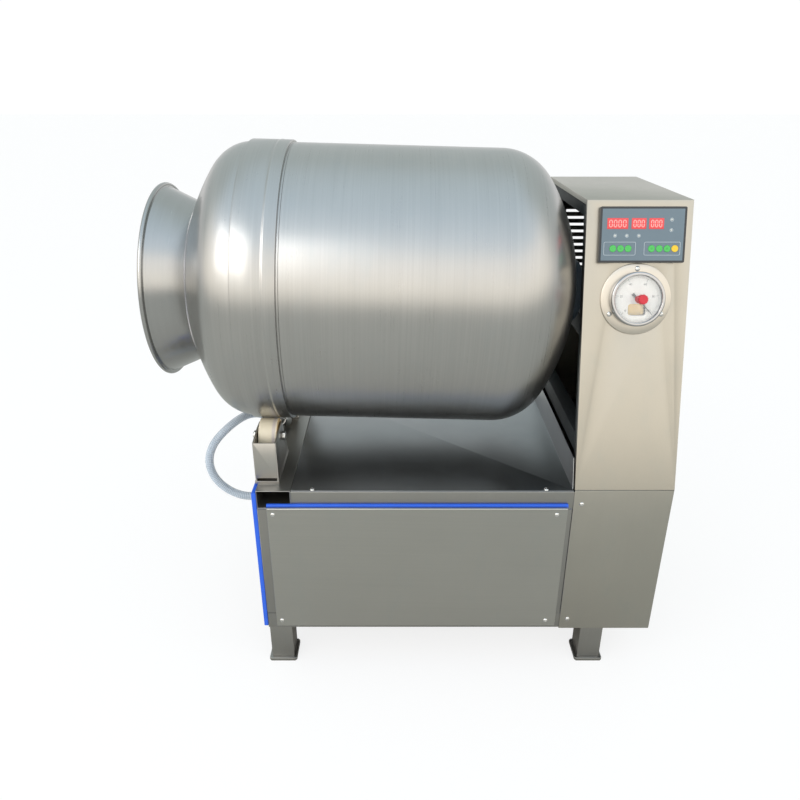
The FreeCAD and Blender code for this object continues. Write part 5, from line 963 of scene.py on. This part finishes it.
# ---------------------------------------------------------------- rollers
@dataclass
class Rollers:
    """Two nylon rollers on their bolts, in welded brackets on the roller rail."""

    radius: float = 37.0
    width: float = 38.0
    span: float = 147.0
    below: float = 286.82
    at: float = -264.0
    bore: float = 6.05
    place: Matrix = field(default_factory=LAYOUT.drum)

    def roller(self, side: int, name: str, body: str, node: str) -> None:
        """One roller with its recessed sides."""
        half, rim = self.width / 2, self.radius
        edge = arc((-half + 2.2, rim - 2.2), 2.2, 180.0, 90.0, 5)
        profile = edge + [(x, r) for x, r in reversed([(-x, r) for x, r in edge])]
        profile += [(half, rim - 9), (half - 1.5, rim - 10.4), (half - 7, rim - 11), (half - 7,
                self.bore + 7),
                    (half - 1.4, self.bore + 6), (half - 1, self.bore + 5), (half - 1, self.bore),
                    (-half + 1, self.bore), (-half + 1, self.bore + 5), (-half + 1.4, self.bore + 6),
                    (-half + 7, self.bore + 7), (-half + 7, rim - 11), (-half + 1.5,
                            rim - 10.4), (-half, rim - 9)]
        local = Matrix.Translation((self.at, side * self.span, -self.below))
        blank = Blank(self.place).turn(profile, 128, local)
        made = blank.piece(name)
        centre = (self.place @ local).translation
        middle = (Matrix.Rotation(-LAYOUT.tilt, 4, "Y") @ centre).x
        tread = Tread("nylon_" + name, (0.66, 0.60, 0.47), (0.42, 0.38, 0.41), (0.60, 0.42, 0.20), middle)
        made.data.materials.append(bpy.data.materials.get(tread.name) or tread.make())
        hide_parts(node)
        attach(made, body)
        LOG.info("%s: %d faces on %s", name, len(made.data.polygons), body)

    def build(self) -> None:
        """Makes both rollers, their brackets and bolts."""
        self.roller(-1, "front_roller_cast", "front_roller_set", "front_roller")
        self.roller(1, "rear_roller_cast", "rear_roller_set", "rear_roller")
        brackets = softened("roller_brackets", "roller_brackets_welded", 0.8)
        # Side faces take the painted shade; faces at the deck take the foot finish.
        sort_faces(brackets, 1, lambda c, n: abs(n.x) > 0.7)
        sort_faces(brackets, 2, lambda c, n: c.z < (LAYOUT.deck + 6.4) / 1000)
        dress(brackets, "frame", (Finish.BRACKET, Finish.BRACKET_SIDE, Finish.FEET), ("roller_brackets",))
        ease("roller_axles", "roller_bolts", 0.5, "frame", Finish.BOLT)


# ---------------------------------------------------------------- base
@dataclass
class Base:
    """Welded base frame with its deck, access panels, seals and what stands on its tray."""

    rail: float = 70.0
    rail_low: float = 413.0
    foot_top: float = 100.0
    place: Matrix = field(default_factory=LAYOUT.machine)

    def frame_tubes(self) -> None:
        """Tubes with rolled corners, brighter along the top rail, and the welds at the mitre."""
        tubes = softened("base_frame", "base_tubes", 2.6, 3)
        edge = (self.place @ Vector((self.rail, 0, 0))).x
        sort_faces(tubes, 1, lambda c, n: c.z > self.rail_low / 1000 and c.x > edge)
        # The top rail's left end, under the roller brackets, takes the painted reflection.
        sort_faces(tubes, 2, lambda c, n: c.z > self.rail_low / 1000 and c.x <= edge)
        sort_faces(tubes, 3, lambda c, n: c.z < self.foot_top / 1000)
        dress(tubes, "frame", (Finish.FRAME, Finish.RAIL, Finish.ROLLER_RAIL, Finish.FEET), ("base_frame",))
        top = LAYOUT.deck - 42.0
        lines = [[Vector((self.rail, -0.2, top + 1)), Vector((self.rail, -0.2, LAYOUT.deck - 3))],
                 [Vector((2, -0.2, top)), Vector((38, -0.2, top))],
                 [Vector((604, -0.2, top)), Vector((640, -0.2, top))]]
        for i, ends in enumerate(lines):
            count = 14
            spine = [self.place @ ends[0].lerp(ends[1], k / count) for k in range(count + 1)]
            dress(weld("frame_weld_%d" % (i + 1), spine, 3.4, False, Finish.BEAD), "frame", (Finish.BEAD,))

    def build(self) -> None:
        """Makes the base's pieces."""
        self.frame_tubes()
        ease("deck_plate", "deck_folded", 0.8, "frame", Finish.DECK)
        ease("front_panel", "front_panel_sheet", 0.5, "frame", Finish.PANEL)
        ease("back_panel", "back_panel_sheet", 0.5, "frame", Finish.PANEL)
        ease("left_panel", "left_panel_sheet", 0.6, "frame", Finish.COVER)
        ease("panel_seals", "seal_strips", 1.4, "frame", Finish.SEAL, 3)
        ease("machine_tray", "tray_plate", 0.6, "frame", Finish.FRAME)
        ease("gearbox", "gearbox_cast", 1.4, "frame", Finish.CAST)
        ease("drive_motor", "motor_finned", 0.5, "frame", Finish.MOTOR)
        ease("motor_pulley", "motor_pulley_turned", 0.5, "motor_pulley_set", Finish.SHAFT)
        ease("drive_belts", "belts_wrapped", 0.4, "frame", Finish.BELT)
        ease("vacuum_pump", "pump_cast", 1.2, "frame", Finish.CAST)
        ease("water_separator", "separator_bowl", 0.8, "frame", Finish.BOWL)
        ease("cable_gland", "gland_moulded", 0.6, "frame", Finish.GLAND)
        ease("hose_port", "hose_bulkhead", 0.5, "frame", Finish.BOLT)


# ---------------------------------------------------------------- fasteners
@dataclass
class Screws:
    """Pan-head screws with cross recesses, one on each seat that the frame's screws give."""

    radius: float = 5.0
    height: float = 2.8
    recess: float = 0.9

    def seats(self, node: str) -> list[tuple[Vector, Vector]]:
        """Seat and outward direction of each separate solid of a node, from its largest flat face."""
        shape = bmesh.new()
        shape.from_mesh(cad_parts[node].data)
        bmesh.ops.remove_doubles(shape, verts=shape.verts, dist=2e-6)
        bmesh.ops.dissolve_limit(shape, angle_limit=math.radians(0.6), verts=shape.verts, edges=shape.edges)
        seats, seen = [], set()
        for start in shape.faces:
            if start in seen:
                continue
            island, heap = [], [start]
            seen.add(start)
            while heap:
                face = heap.pop()
                island.append(face)
                for edge in face.edges:
                    for other in edge.link_faces:
                        if other not in seen:
                            seen.add(other)
                            heap.append(other)
            base = max(island, key=lambda f: f.calc_area())
            seats.append((base.calc_center_median(), -base.normal))
        shape.free()
        return seats

    def head(self) -> bpy.types.Object:
        """One screw head with a cross recess, in metres, seated at the origin and facing +Z."""
        blank = Blank(Matrix.Scale(0.001, 4) @ Matrix.Rotation(-QUARTER, 4, "Y"))
        dome = [(self.height * math.cos(t), self.radius * math.sin(t))
                for t in (QUARTER * i / 6 for i in range(1, 6))]
        blank.turn([(0, 0), (0, self.radius)] + list(reversed(dome)) + [(self.height, 0)], 20)
        made = blank.piece("screw_head", 40.0)
        for turn in (0.0, QUARTER):
            bar = Blank(Matrix.Scale(0.001, 4) @ Matrix.Rotation(turn, 4, "Z"))
            bar.slab([(2.6, self.height + 1), (-2.6, self.height + 1), (-1.6, self.height - 1.2),
                      (1.6, self.height - 1.2)], -self.recess / 2, self.recess / 2)
            cutter = bar.piece("screw_cutter")
            cut = made.modifiers.new("cross", "BOOLEAN")
            cut.operation, cut.object, cut.solver = "DIFFERENCE", cutter, "EXACT"
            made = settled(made)
            bpy.data.objects.remove(cutter)
        smooth(made.data, 40.0)
        return made

    def build(self) -> None:
        """Lays the heads on the seats, each turned at random from a fixed seed."""
        seats = self.seats("panel_screws")
        mesh = bpy.data.meshes.new("screw_seats")
        mesh.from_pydata([tuple(s) for s, _ in seats], [], [])
        aim = mesh.attributes.new("aim", "FLOAT_VECTOR", "POINT")
        for i, (_, normal) in enumerate(seats):
            aim.data[i].vector = normal
        head = self.head()
        works = Works("screw_works")
        seed = works.size("Slot seed", 7, "NodeSocketInt")
        scale = works.size("Head scale", 1.0)
        source = works.size("Head", head, "NodeSocketObject")
        shape = works.add("GeometryNodeObjectInfo", {}, {"Object": source}, "Geometry")
        normal = works.add("GeometryNodeInputNamedAttribute", {"data_type": "FLOAT_VECTOR"}, {"Name": "aim"})
        face = works.add("FunctionNodeAlignRotationToVector", {"axis": "Z"}, {"Vector": normal})
        spin = works.add("FunctionNodeRandomValue", {"data_type": "FLOAT"},
                         {2: 0.0, 3: 2 * math.pi, "Seed": seed}, 1)
        about = works.add("ShaderNodeCombineXYZ", {}, {"Z": spin})
        turned = works.add("FunctionNodeEulerToRotation", {}, {0: about})
        both = works.add("FunctionNodeRotateRotation", {"rotation_space": "LOCAL"}, {0: face, 1: turned})
        laid = works.add("GeometryNodeInstanceOnPoints", {},
                         {"Points": works.start(), "Instance": shape, "Rotation": both, "Scale": scale})
        made = works.run("screw_heads", new_object("screw_seats", mesh), laid, Finish.SCREW)
        bpy.data.objects.remove(head)
        dress(made, "frame", (Finish.SCREW,), ("panel_screws",))


# ---------------------------------------------------------------- column
@dataclass
class Column:
    """Control column: leaning housing, covers, inner uprights, bearings and their rails."""

    def build(self) -> None:
        """Makes the column's pieces; the top sheet is coloured near-black as a painted dark reflection, and
        the open inside takes painted shade.
        """
        shell = softened("column_shell", "column_housing", 0.7, 2)
        low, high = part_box("column_shell")
        inward = Vector(((low.x + high.x) / 2, (low.y + high.y) / 2, (low.z + high.z) / 2))
        # The top faces take the near-black painted reflection.
        sort_faces(shell, 1, lambda c, n: n.z > 0.8 and c.z > high.z - 0.004)
        # Faces turned into the column take the painted shade.
        sort_faces(shell, 2, lambda c,
                   n: (inward - c).dot(n) > 0.012 and not (n.z > 0.8 and c.z > high.z - 0.004))
        dress(shell, "frame", (Finish.COLUMN, Finish.COLUMN_TOP, Finish.COLUMN_DARK), ("column_shell",))
        ease("column_lower_cover", "column_lower_sheet", 0.6, "frame", Finish.COVER)
        back = softened("column_back_cover", "column_back_sheet", 0.5)
        # The back cover's inner face takes the painted shade.
        sort_faces(back, 1, lambda c, n: n.y < -0.5)
        dress(back, "frame", (Finish.COVER, Finish.COLUMN_DARK), ("column_back_cover",))
        # The uprights and bearing rails inside the column take the painted shade.
        ease("column_frame", "column_uprights", 1.6, "frame", Finish.COLUMN_DARK)
        ease("bearing_support", "bearing_rails", 1.6, "frame", Finish.COLUMN_DARK)
        ease("pillow_blocks", "pillow_blocks_cast", 1.2, "frame", Finish.CAST)
        ease("frame_bolts", "bearing_bolts", 0.6, "frame", Finish.BOLT)


# ---------------------------------------------------------------- control unit
@dataclass
class ControlUnit:
    """Control unit on the leaning front: housing, face, windows with digits, lamps and keys."""

    proud: float = 8.0
    window_up: float = 20.4
    window_height: float = 20.0
    windows: tuple[tuple[float, float, int], ...] = ((-47.9, 39.4, 4), (-8.1, 27.7, 3), (24.8, 27.7, 3))
    key_down: float = 25.5
    keys: tuple[float, ...] = (-55.0, -40.6, -26.2, 17.9, 32.5, 47.1, 61.7)
    key_radius: float = 6.4
    key_proud: float = 0.9
    lamps: tuple[tuple[float, float], ...] = ((53.2, 27.5), (53.2, 8.5), (-52.0, -1.9), (-29.9,
            -1.9), (-7.3, -1.9))
    place: Matrix = field(default_factory=LAYOUT.unit)

    def digits(self) -> None:
        """Seven-segment noughts, slightly proud of the windows."""
        blank = Blank(self.place)
        front = -self.proud - 0.45
        for middle, width, count in self.windows:
            pitch = (width - 5.0) / count
            wide, tall, bar = pitch * 0.58, self.window_height * 0.60, 1.3
            for i in range(count):
                x = middle + (i - (count - 1) / 2) * pitch
                z = self.window_up
                for side in (-1, 1):
                    for half in (-1, 1):
                        blank.slab(self.segment(x + side * wide / 2, z + half * tall / 4, bar,
                                                tall / 2 - bar * 0.5,
                                                True), front, front + 0.1)
                    blank.slab(self.segment(x, z + side * tall / 2, bar, wide - bar * 0.5, False),
                               front, front + 0.1)
        dress(blank.piece("display_digits"), "frame", (Finish.DIGIT,))

    def segment(self, x: float, z: float, bar: float, length: float,
                upright: bool) -> list[tuple[float, float]]:
        """Outline of one bar of a digit, pointed at both ends."""
        half, tip = bar / 2, length / 2
        points = [(-half, -tip + half), (0, -tip), (half, -tip + half), (half, tip - half), (0, tip),
                  (-half, tip - half)]
        return [(x + (u if upright else v), z + (v if upright else u)) for u, v in points]

    def prints(self) -> None:
        """Printed outlines round the two groups of keys and a ring round each lamp."""
        blank = Blank(self.place)
        front = -self.proud - 0.06
        for left, right in ((-72.0, -12.5), (4.0, 71.5)):
            outer = rounded(right - left, 24.0, 2.4, ((left + right) / 2, -self.key_down))
            blank.sweep([Vector((x, front + 0.05, z)) for x, z in outer], 0.34, 6, loop=True)
        for x, z in self.lamps:
            ring = arc((x, z), 3.1, 0.0, 345.0, 23)
            blank.sweep([Vector((u, front + 0.05, w)) for u, w in ring], 0.3, 6, loop=True)
        dress(blank.piece("panel_print"), "frame", (Finish.PRINT,))

    def key_caps(self) -> None:
        """Round key caps with a dished top and a raised generic mark."""
        for number, across in enumerate(self.keys, start=1):
            top = -self.proud - self.key_proud
            r = self.key_radius
            local = Matrix.Translation((across, 0, -self.key_down)) @ Matrix.Rotation(QUARTER, 4, "Z")
            outline = [(top + 3.6, 0.0), (top + 3.6, r - 0.05), (top + 0.6, r - 0.05), (top + 0.2, r - 0.3),
                       (top, r - 0.9), (top + 0.05, r - 1.8), (top + 0.25, r - 3.4), (top + 0.3, 0.0)]
            blank = Blank(self.place).turn(outline, 56, local)
            blank.use(1)
            bars = ((2.2, 0.9),) if number % 2 else ((2.0, 0.8), (0.8, 2.0))
            for wide, tall in bars:
                blank.slab(rounded(wide * 2, tall * 2, 0.5, (across, -self.key_down), 3),
                           top + 0.05, top + 0.32)
            finish = Finish.YELLOW if number == len(self.keys) else Finish.GREEN
            dress(blank.piece("key_cap_%d" % number), "key_%d_cap" % number, (finish, Finish.PRINT),
                  ("key_%d" % number,))

    def build(self) -> None:
        """Makes the unit's pieces."""
        ease("control_housing", "unit_housing", 0.9, "frame", Finish.UNIT, 3)
        paint("control_face", Finish.MEMBRANE)
        ease("display_windows", "window_lenses", 0.2, "frame", Finish.WINDOW)
        ease("indicator_lamps", "lamp_lenses", 0.3, "frame", Finish.LAMP)
        self.digits()
        self.prints()
        self.key_caps()


# ---------------------------------------------------------------- vacuum gauge
@dataclass
class Gauge:
    """Vacuum gauge: flange, bezel, glass, marked dial over its movement, needle and setting knob."""

    flange: float = 67.5
    flange_thick: float = 2.5
    case: float = 49.0
    depth: float = 42.0
    bezel: float = 51.5
    bezel_proud: float = 17.0
    glass: float = 3.0
    dial: float = 45.5
    dial_behind: float = 9.0
    sweep: float = 270.0
    divisions: int = 50
    knob: float = 9.5
    knob_length: float = 15.0
    collar: float = 7.0
    collar_length: float = 14.0
    place: Matrix = field(default_factory=LAYOUT.gauge)

    def turned_parts(self) -> None:
        """Flange with its cup, bezel ring and glass."""
        front = -self.flange_thick
        outline = [(front, self.case - 1.5), (front, self.flange - 1.2), (front + 0.5, self.flange - 0.3),
                   (front + 1.2, self.flange), (0, self.flange), (0, self.case), (self.depth, self.case),
                   (self.depth, 0), (self.depth - 1.5, 0), (self.depth - 1.5, self.case - 1.5)]
        cup = Blank(self.place).turn(outline, 128)
        cup.turn([(self.depth, 0), (self.depth, 8.0), (self.depth + 15.0, 8.0), (self.depth + 16.0, 7.2),
                  (self.depth + 16.0, 0)], 6, Matrix.Translation((0, 0, -20.0)))
        dress(cup.piece("gauge_flange"), "frame", (Finish.FLANGE,), ("gauge_case",))
        y0, y1, r = -self.flange_thick - self.bezel_proud, -self.flange_thick, self.bezel
        lip = arc((y0 + 3.0, r - 3.0), 3.0, 90.0, 180.0, 8)
        ring = [(y1, r - 4.5), (y1, r - 1.0), (y1 - 1.0, r)] + lip
        ring += [(y0, r - 5.5), (y0 + 0.6, r - 6.3), (y0 + 1.9, r - 6.5), (y0 + 2.0, r - 3.0),
                 (y0 + 5.2, r - 3.0), (y0 + 5.2, r - 4.5)]
        dress(Blank(self.place).turn(ring, 128).piece("gauge_bezel_ring"), "frame", (Finish.BEZEL,),
              ("gauge_bezel",))
        pane = [(y0 + 2.05, 3.1), (y0 + 2.05, r - 3.2), (y0 + 2 + self.glass, r - 3.2),
                (y0 + 2 + self.glass, 3.1)]
        dress(Blank(self.place).turn(pane, 96).piece("gauge_pane"), "frame", (Finish.GLASS,),
              ("gauge_glass",))

    def marks(self) -> None:
        """Divisions laid round the dial, and plain numbers at every tenth."""
        front = -self.flange_thick - self.bezel_proud + self.dial_behind
        for name, step, length, wide in (("dial_divisions", 1, 3.0, 0.35), ("dial_tens", 10, 5.5, 0.8)):
            count = self.divisions // step + 1
            spots = []
            for i in range(count):
                angle = math.radians(-self.sweep / 2 + self.sweep * i / (count - 1))
                radius = self.dial - 3.5 - length / 2
                spots.append((front - 0.02, -radius * math.sin(angle), radius * math.cos(angle)))
            mesh = bpy.data.meshes.new(name)
            mesh.from_pydata([tuple(self.place @ Vector(s)) for s in spots], [], [])
            works = Works(name + "_works")
            block = works.size("Mark size", (0.00008, wide / 1000, length / 1000), "NodeSocketVector")
            centre = works.size("Dial centre", self.place @ Vector((front - 0.02, 0, 0)), "NodeSocketVector")
            inward = works.size("Inward", (self.place.to_3x3() @ Vector((1, 0, 0))).normalized(),
                                "NodeSocketVector")
            cube = works.add("GeometryNodeMeshCube", {}, {"Size": block})
            spot = works.add("GeometryNodeInputPosition")
            out = works.add("ShaderNodeVectorMath", {"operation": "SUBTRACT"}, {0: spot, 1: centre})
            stand = works.add("FunctionNodeAlignRotationToVector", {"axis": "Z"}, {"Vector": out})
            face = works.add("FunctionNodeAlignRotationToVector", {"axis": "X", "pivot_axis": "Z"},
                             {"Rotation": stand, "Vector": inward})
            laid = works.add("GeometryNodeInstanceOnPoints", {},
                             {"Points": works.start(), "Instance": cube, "Rotation": face})
            dress(works.run(name, new_object(name, mesh), laid, Finish.MARK), "frame", (Finish.MARK,))
        self.numbers(front)

    def numbers(self, front: float) -> None:
        """Plain numbers 0 to 100 round the dial, as one flat mesh."""
        shape = bmesh.new()
        upright = self.place @ Matrix.Rotation(-QUARTER, 4, "Z") @ Matrix.Rotation(QUARTER, 4, "X")
        for i in range(6):
            angle = math.radians(-self.sweep / 2 + self.sweep * i / 5)
            text = bpy.data.curves.new("number", "FONT")
            text.body, text.size, text.align_x, text.align_y = str(20 * i), 6.2, "CENTER", "CENTER"
            text.extrude = 0.04
            holder = bpy.data.objects.new("number", text)
            bpy.context.scene.collection.objects.link(holder)
            graph = bpy.context.evaluated_depsgraph_get()
            mesh = bpy.data.meshes.new_from_object(holder.evaluated_get(graph), depsgraph=graph)
            reach = self.dial - 14.5
            mesh.transform(upright @ Matrix.Translation((reach * math.sin(angle),
                    reach * math.cos(angle), -front + 0.05)))
            shape.from_mesh(mesh)
            bpy.data.objects.remove(holder)
        made = bpy.data.meshes.new("dial_numbers")
        shape.to_mesh(made)
        shape.free()
        dress(new_object("dial_numbers", made), "frame", (Finish.MARK,))

    def knob_parts(self) -> None:
        """Fluted red knob, its dark collar and the spindle through the glass."""
        glass = -self.flange_thick - self.bezel_proud + 2
        end = glass - 0.3 - self.collar_length
        tip = end - self.knob_length
        blank = Blank(self.place)
        body = [(end, 0.0), (end, self.knob - 0.6), (end - 0.6, self.knob)]
        body += [(tip + 1.6, self.knob), (tip + 0.5, self.knob - 0.5), (tip, self.knob - 1.6),
                 (tip + 0.3, 4.0),
                 (tip + 0.3, 0.0)]
        blank.turn(body, 144, flutes=(12, 1.1))
        blank.use(1).turn([(glass - 0.3, 0), (glass - 0.3, self.collar - 0.6), (glass - 0.9, self.collar),
                           (end + 0.1, self.collar), (end + 0.1, 0)], 72)
        blank.turn([(glass - 0.3, 0), (glass - 0.3, 3.0), (glass + self.glass + 0.4, 3.0),
                    (glass + self.glass + 0.4, 0)], 32)
        dress(blank.piece("knob_fluted"), "knob", (Finish.KNOB, Finish.COLLAR), ("setting_knob",))

    def build(self) -> None:
        """Makes the gauge's pieces."""
        self.turned_parts()
        ease("gauge_dial", "dial_plate", 0.15, "frame", Finish.DIAL)
        ease("gauge_movement", "movement_works", 0.2, "frame", Finish.BRASS)
        self.marks()
        ease("gauge_needle", "needle_blade", 0.15, "needle", Finish.NEEDLE)
        self.knob_parts()


# ---------------------------------------------------------------- vacuum hose
@dataclass
class Hose:
    """Clear ringed vacuum hose from the left panel's port to its coupling on the roller rail."""

    radius: float = 8.6
    length: float = 382.9
    start: tuple[float, float, float] = (-34.5, 140.0, 355.0)
    route: tuple[tuple[float, float, float], ...] = (
        (-55.0, 140.0, 355.0), (-76.0, 141.0, 361.0), (-96.0, 142.0, 372.0), (-116.0, 142.0, 393.0),
        (-128.0, 142.0, 421.0), (-129.0, 144.0, 452.0), (-118.0, 150.0, 481.0), (-97.0, 160.0, 505.0),
        (-71.0, 180.0, 523.0), (-49.0, 205.0, 528.0), (-27.0, 228.0, 520.0), (-7.0, 245.0, 500.0),
        (5.0, 267.0, 486.0))
    place: Matrix = field(default_factory=LAYOUT.machine)

    def curve(self, name: str, radius: float) -> bpy.types.Object:
        """The route as one smooth spline with a round section, radius in millimetres."""
        line = bpy.data.curves.new(name, "CURVE")
        line.dimensions = "3D"
        spline = line.splines.new("NURBS")
        points = [self.place @ Vector(p) for p in (self.start,) + self.route]
        spline.points.add(len(points) - 1)
        for point, spot in zip(spline.points, points):
            point.co = (*spot, 1.0)
        spline.order_u = 3
        spline.use_endpoint_u = True
        spline.resolution_u = 12
        line.bevel_depth = radius / 1000
        line.bevel_resolution = 8
        line.use_fill_caps = True
        made = bpy.data.objects.new(name, line)
        bpy.context.scene.collection.objects.link(made)
        return made

    def rings(self) -> bpy.types.Object:
        """The hose's raised rings, a fixed pitch apart along its line."""
        guide = settled(self.curve("hose_line", 0.0))
        works = Works("hose_ring_works")
        reach = works.size("Hose radius", self.radius / 1000)
        pitch = works.size("Ring pitch", 0.0042)
        wire = works.size("Ring wire", 0.00055)
        curve = works.add("GeometryNodeMeshToCurve", {}, {0: works.start()})
        points = works.add("GeometryNodeCurveToPoints", {"mode": "LENGTH"}, {"Curve": curve,
                "Length": pitch})
        circle = works.add("GeometryNodeCurvePrimitiveCircle", {"mode": "RADIUS"},
                           {"Resolution": 24, "Radius": reach})
        section = works.add("GeometryNodeCurvePrimitiveCircle", {"mode": "RADIUS"},
                            {"Resolution": 5, "Radius": wire})
        ring = works.add("GeometryNodeCurveToMesh", {}, {"Curve": circle, "Profile Curve": section})
        laid = works.add("GeometryNodeInstanceOnPoints", {},
                         {"Points": points, "Instance": ring, "Rotation": points.node.outputs["Rotation"]})
        return dress(works.run("hose_rings", guide, laid, Finish.HELIX), "frame", (Finish.HELIX,))

    def build(self) -> None:
        tube = dress(self.curve("hose_tube", self.radius), "frame", (Finish.HOSE,), ("vacuum_hose",))
        rings = self.rings()
        # A dark inner tube seen through the clear wall: painted shade of the hose's inside.
        bore = settled(self.curve("hose_bore", self.radius - 3.4))
        smooth(bore.data)
        dress(bore, "frame", (Finish.BORE,))
        coupling = ease("hose_coupling", "hose_quick_coupling", 0.5, "frame", Finish.BOLT)
        tuple(self.place @ Vector(self.start))


# ---------------------------------------------------------------- studio
@dataclass
class Studio:
    """Pale floor, soft dome light and the camera."""

    eye: tuple[float, float, float] = (-0.03208, -1.4425, 1.2014)
    pitch: float = math.radians(90.0 - 24.52)
    lens: float = 31.3155
    floor_reach: float = 30.0
    lamp_size: tuple[float, float] = (2.2, 1.6)
    lamp_power: float = 26.0
    lamp_at: tuple[float, float, float] = (-1.6, -2.2, 2.6)
    ground: Colour = (0.50, 0.485, 0.45)

    def camera(self) -> None:
        """Camera level across, looking down at the machine."""
        data = bpy.data.cameras.new("camera")
        data.lens, data.sensor_width = self.lens, 36.0
        data.clip_start, data.clip_end = 0.05, 100.0
        camera = bpy.data.objects.new("camera", data)
        camera.location = self.eye
        camera.rotation_euler = (self.pitch, 0.0, 0.0)
        bpy.context.scene.collection.objects.link(camera)
        bpy.context.scene.camera = camera

    def sheet(self, name: str, height: float) -> bpy.types.Object:
        """A level square sheet, off the object."""
        reach = self.floor_reach
        mesh = bpy.data.meshes.new(name)
        mesh.from_pydata([(-reach, -reach, height), (reach, -reach, height), (reach, reach, height),
                          (-reach, reach, height)], [], [(0, 1, 2, 3)])
        made = new_object(name, mesh)
        return made

    def floor(self) -> None:
        """White floor that keeps the machine's shadow, and a grey card that only gloss sees."""
        floor = self.sheet("floor", 0.0)
        b = Bench("floor_white")
        b.surface(Base_Color=(0.86, 0.86, 0.86), Roughness=0.9)
        path = b.tree.nodes.new("ShaderNodeLightPath")
        seen = Flow(b, path.outputs["Is Camera Ray"]) + Flow(b, path.outputs["Is Glossy Ray"])
        seen = seen + Flow(b, path.outputs["Is Transmission Ray"])
        white = b.add("ShaderNodeEmission", {}, {"Color": (1.0, 1.0, 1.0), "Strength": 1.0})
        out = next(n for n in b.tree.nodes if n.type == "OUTPUT_MATERIAL")
        mixed = b.add("ShaderNodeMixShader", {}, {0: seen.clamped() * 0.80, 2: white})
        b.tree.links.new(b.shader.outputs[0], mixed.socket.node.inputs[1])
        b.tree.links.new(mixed.socket, out.inputs["Surface"])
        floor.data.materials.append(b.material)
        card = self.sheet("ground_card", 0.0004)
        c = Bench("ground_grey")
        c.surface(Base_Color=self.ground, Roughness=1.0)
        card.data.materials.append(c.material)
        card.visible_camera = card.visible_diffuse = card.visible_shadow = card.visible_transmission = False

    def dome(self) -> None:
        """World light: bright and warm low in front, cooler overhead, soft grey behind."""
        world = bpy.data.worlds.new("dome")
        bpy.context.scene.world = world
        world.use_nodes = True
        tree = world.node_tree
        tree.nodes.clear()
        spot = tree.nodes.new("ShaderNodeTexCoord")
        parts = tree.nodes.new("ShaderNodeSeparateXYZ")
        tree.links.new(spot.outputs["Generated"], parts.inputs[0])
        front = self.ramp(tree, parts.outputs["Z"], (
            (-0.05, (0.60, 0.58, 0.54)), (0.02, (1.25, 1.20, 1.10)), (0.16, (1.85, 1.76, 1.58)),
            (0.52, (1.75, 1.72, 1.66)), (0.74, (1.18, 1.34, 1.48)), (0.97, (0.98, 1.17, 1.32)),
            (1.0, (0.94, 1.12, 1.24))))
        back = self.ramp(tree, parts.outputs["Z"], (
            (-0.05, (1.02, 1.02, 1.02)), (0.12, (1.02, 1.02, 1.02)), (0.30, (0.72, 0.78, 0.78)),
            (0.80, (0.74, 0.84, 0.84)), (0.97, (0.88, 1.04, 1.12)), (1.0, (0.94, 1.12, 1.24))))
        side = tree.nodes.new("ShaderNodeMapRange")
        side.interpolation_type = "SMOOTHSTEP"
        tree.links.new(parts.outputs["Y"], side.inputs[0])
        side.inputs[1].default_value, side.inputs[2].default_value = -0.30, 0.30
        mix = tree.nodes.new("ShaderNodeMix")
        mix.data_type = "RGBA"
        tree.links.new(side.outputs[0], mix.inputs[0])
        tree.links.new(front, mix.inputs[6])
        tree.links.new(back, mix.inputs[7])
        shine = tree.nodes.new("ShaderNodeBackground")
        out = tree.nodes.new("ShaderNodeOutputWorld")
        tree.links.new(mix.outputs[2], shine.inputs["Color"])
        tree.links.new(shine.outputs[0], out.inputs["Surface"])

    def ramp(self, tree: bpy.types.NodeTree, height: bpy.types.NodeSocket,
             stops: Sequence[tuple[float, Colour]]) -> bpy.types.NodeSocket:
        """Colour by height, from -1 to 1, between stops; each colour may pass 1."""
        strength = 2.0
        place = tree.nodes.new("ShaderNodeMath")
        place.operation = "MULTIPLY_ADD"
        tree.links.new(height, place.inputs[0])
        place.inputs[1].default_value = place.inputs[2].default_value = 0.5
        ramp = tree.nodes.new("ShaderNodeValToRGB")
        tree.links.new(place.outputs[0], ramp.inputs[0])
        band = ramp.color_ramp
        band.interpolation = "EASE"
        while len(band.elements) < len(stops):
            band.elements.new(0.5)
        for element, (at, colour) in zip(band.elements, stops):
            element.position = 0.5 + 0.5 * at
            element.color = (*(c / strength for c in colour), 1.0)
        whole = tree.nodes.new("ShaderNodeVectorMath")
        whole.operation = "SCALE"
        tree.links.new(ramp.outputs[0], whole.inputs[0])
        whole.inputs["Scale"].default_value = strength
        return whole.outputs[0]

    def lamp(self) -> None:
        """One large soft lamp from the upper left, in front."""
        data = bpy.data.lights.new("soft_box", "AREA")
        data.shape, data.size, data.size_y, data.energy = "RECTANGLE", *self.lamp_size, self.lamp_power
        data.color = (1.0, 0.97, 0.93)
        lamp = bpy.data.objects.new("soft_box", data)
        lamp.location = self.lamp_at
        aim = Vector((0.0, 0.0, 0.55)) - Vector(lamp.location)
        lamp.rotation_euler = aim.to_track_quat("-Z", "Y").to_euler()
        bpy.context.scene.collection.objects.link(lamp)

    def build(self) -> None:
        """Sets the studio up."""
        bpy.context.scene.view_settings.view_transform = "Standard"
        self.camera()
        self.floor()
        self.dome()
        self.lamp()


def main() -> None:
    """Builds the machine's sub-assemblies in order, then the studio."""
    logging.basicConfig(level=logging.INFO, format="%(name)s: %(message)s")
    for part in (Hose(), Drum(), Lid(), Rollers(), Base(), Screws(), Column(), ControlUnit(),
                 Gauge(), Studio()):
        LOG.info("building %s", type(part).__name__)
        part.build()


if __name__ == "__main__":
    main()
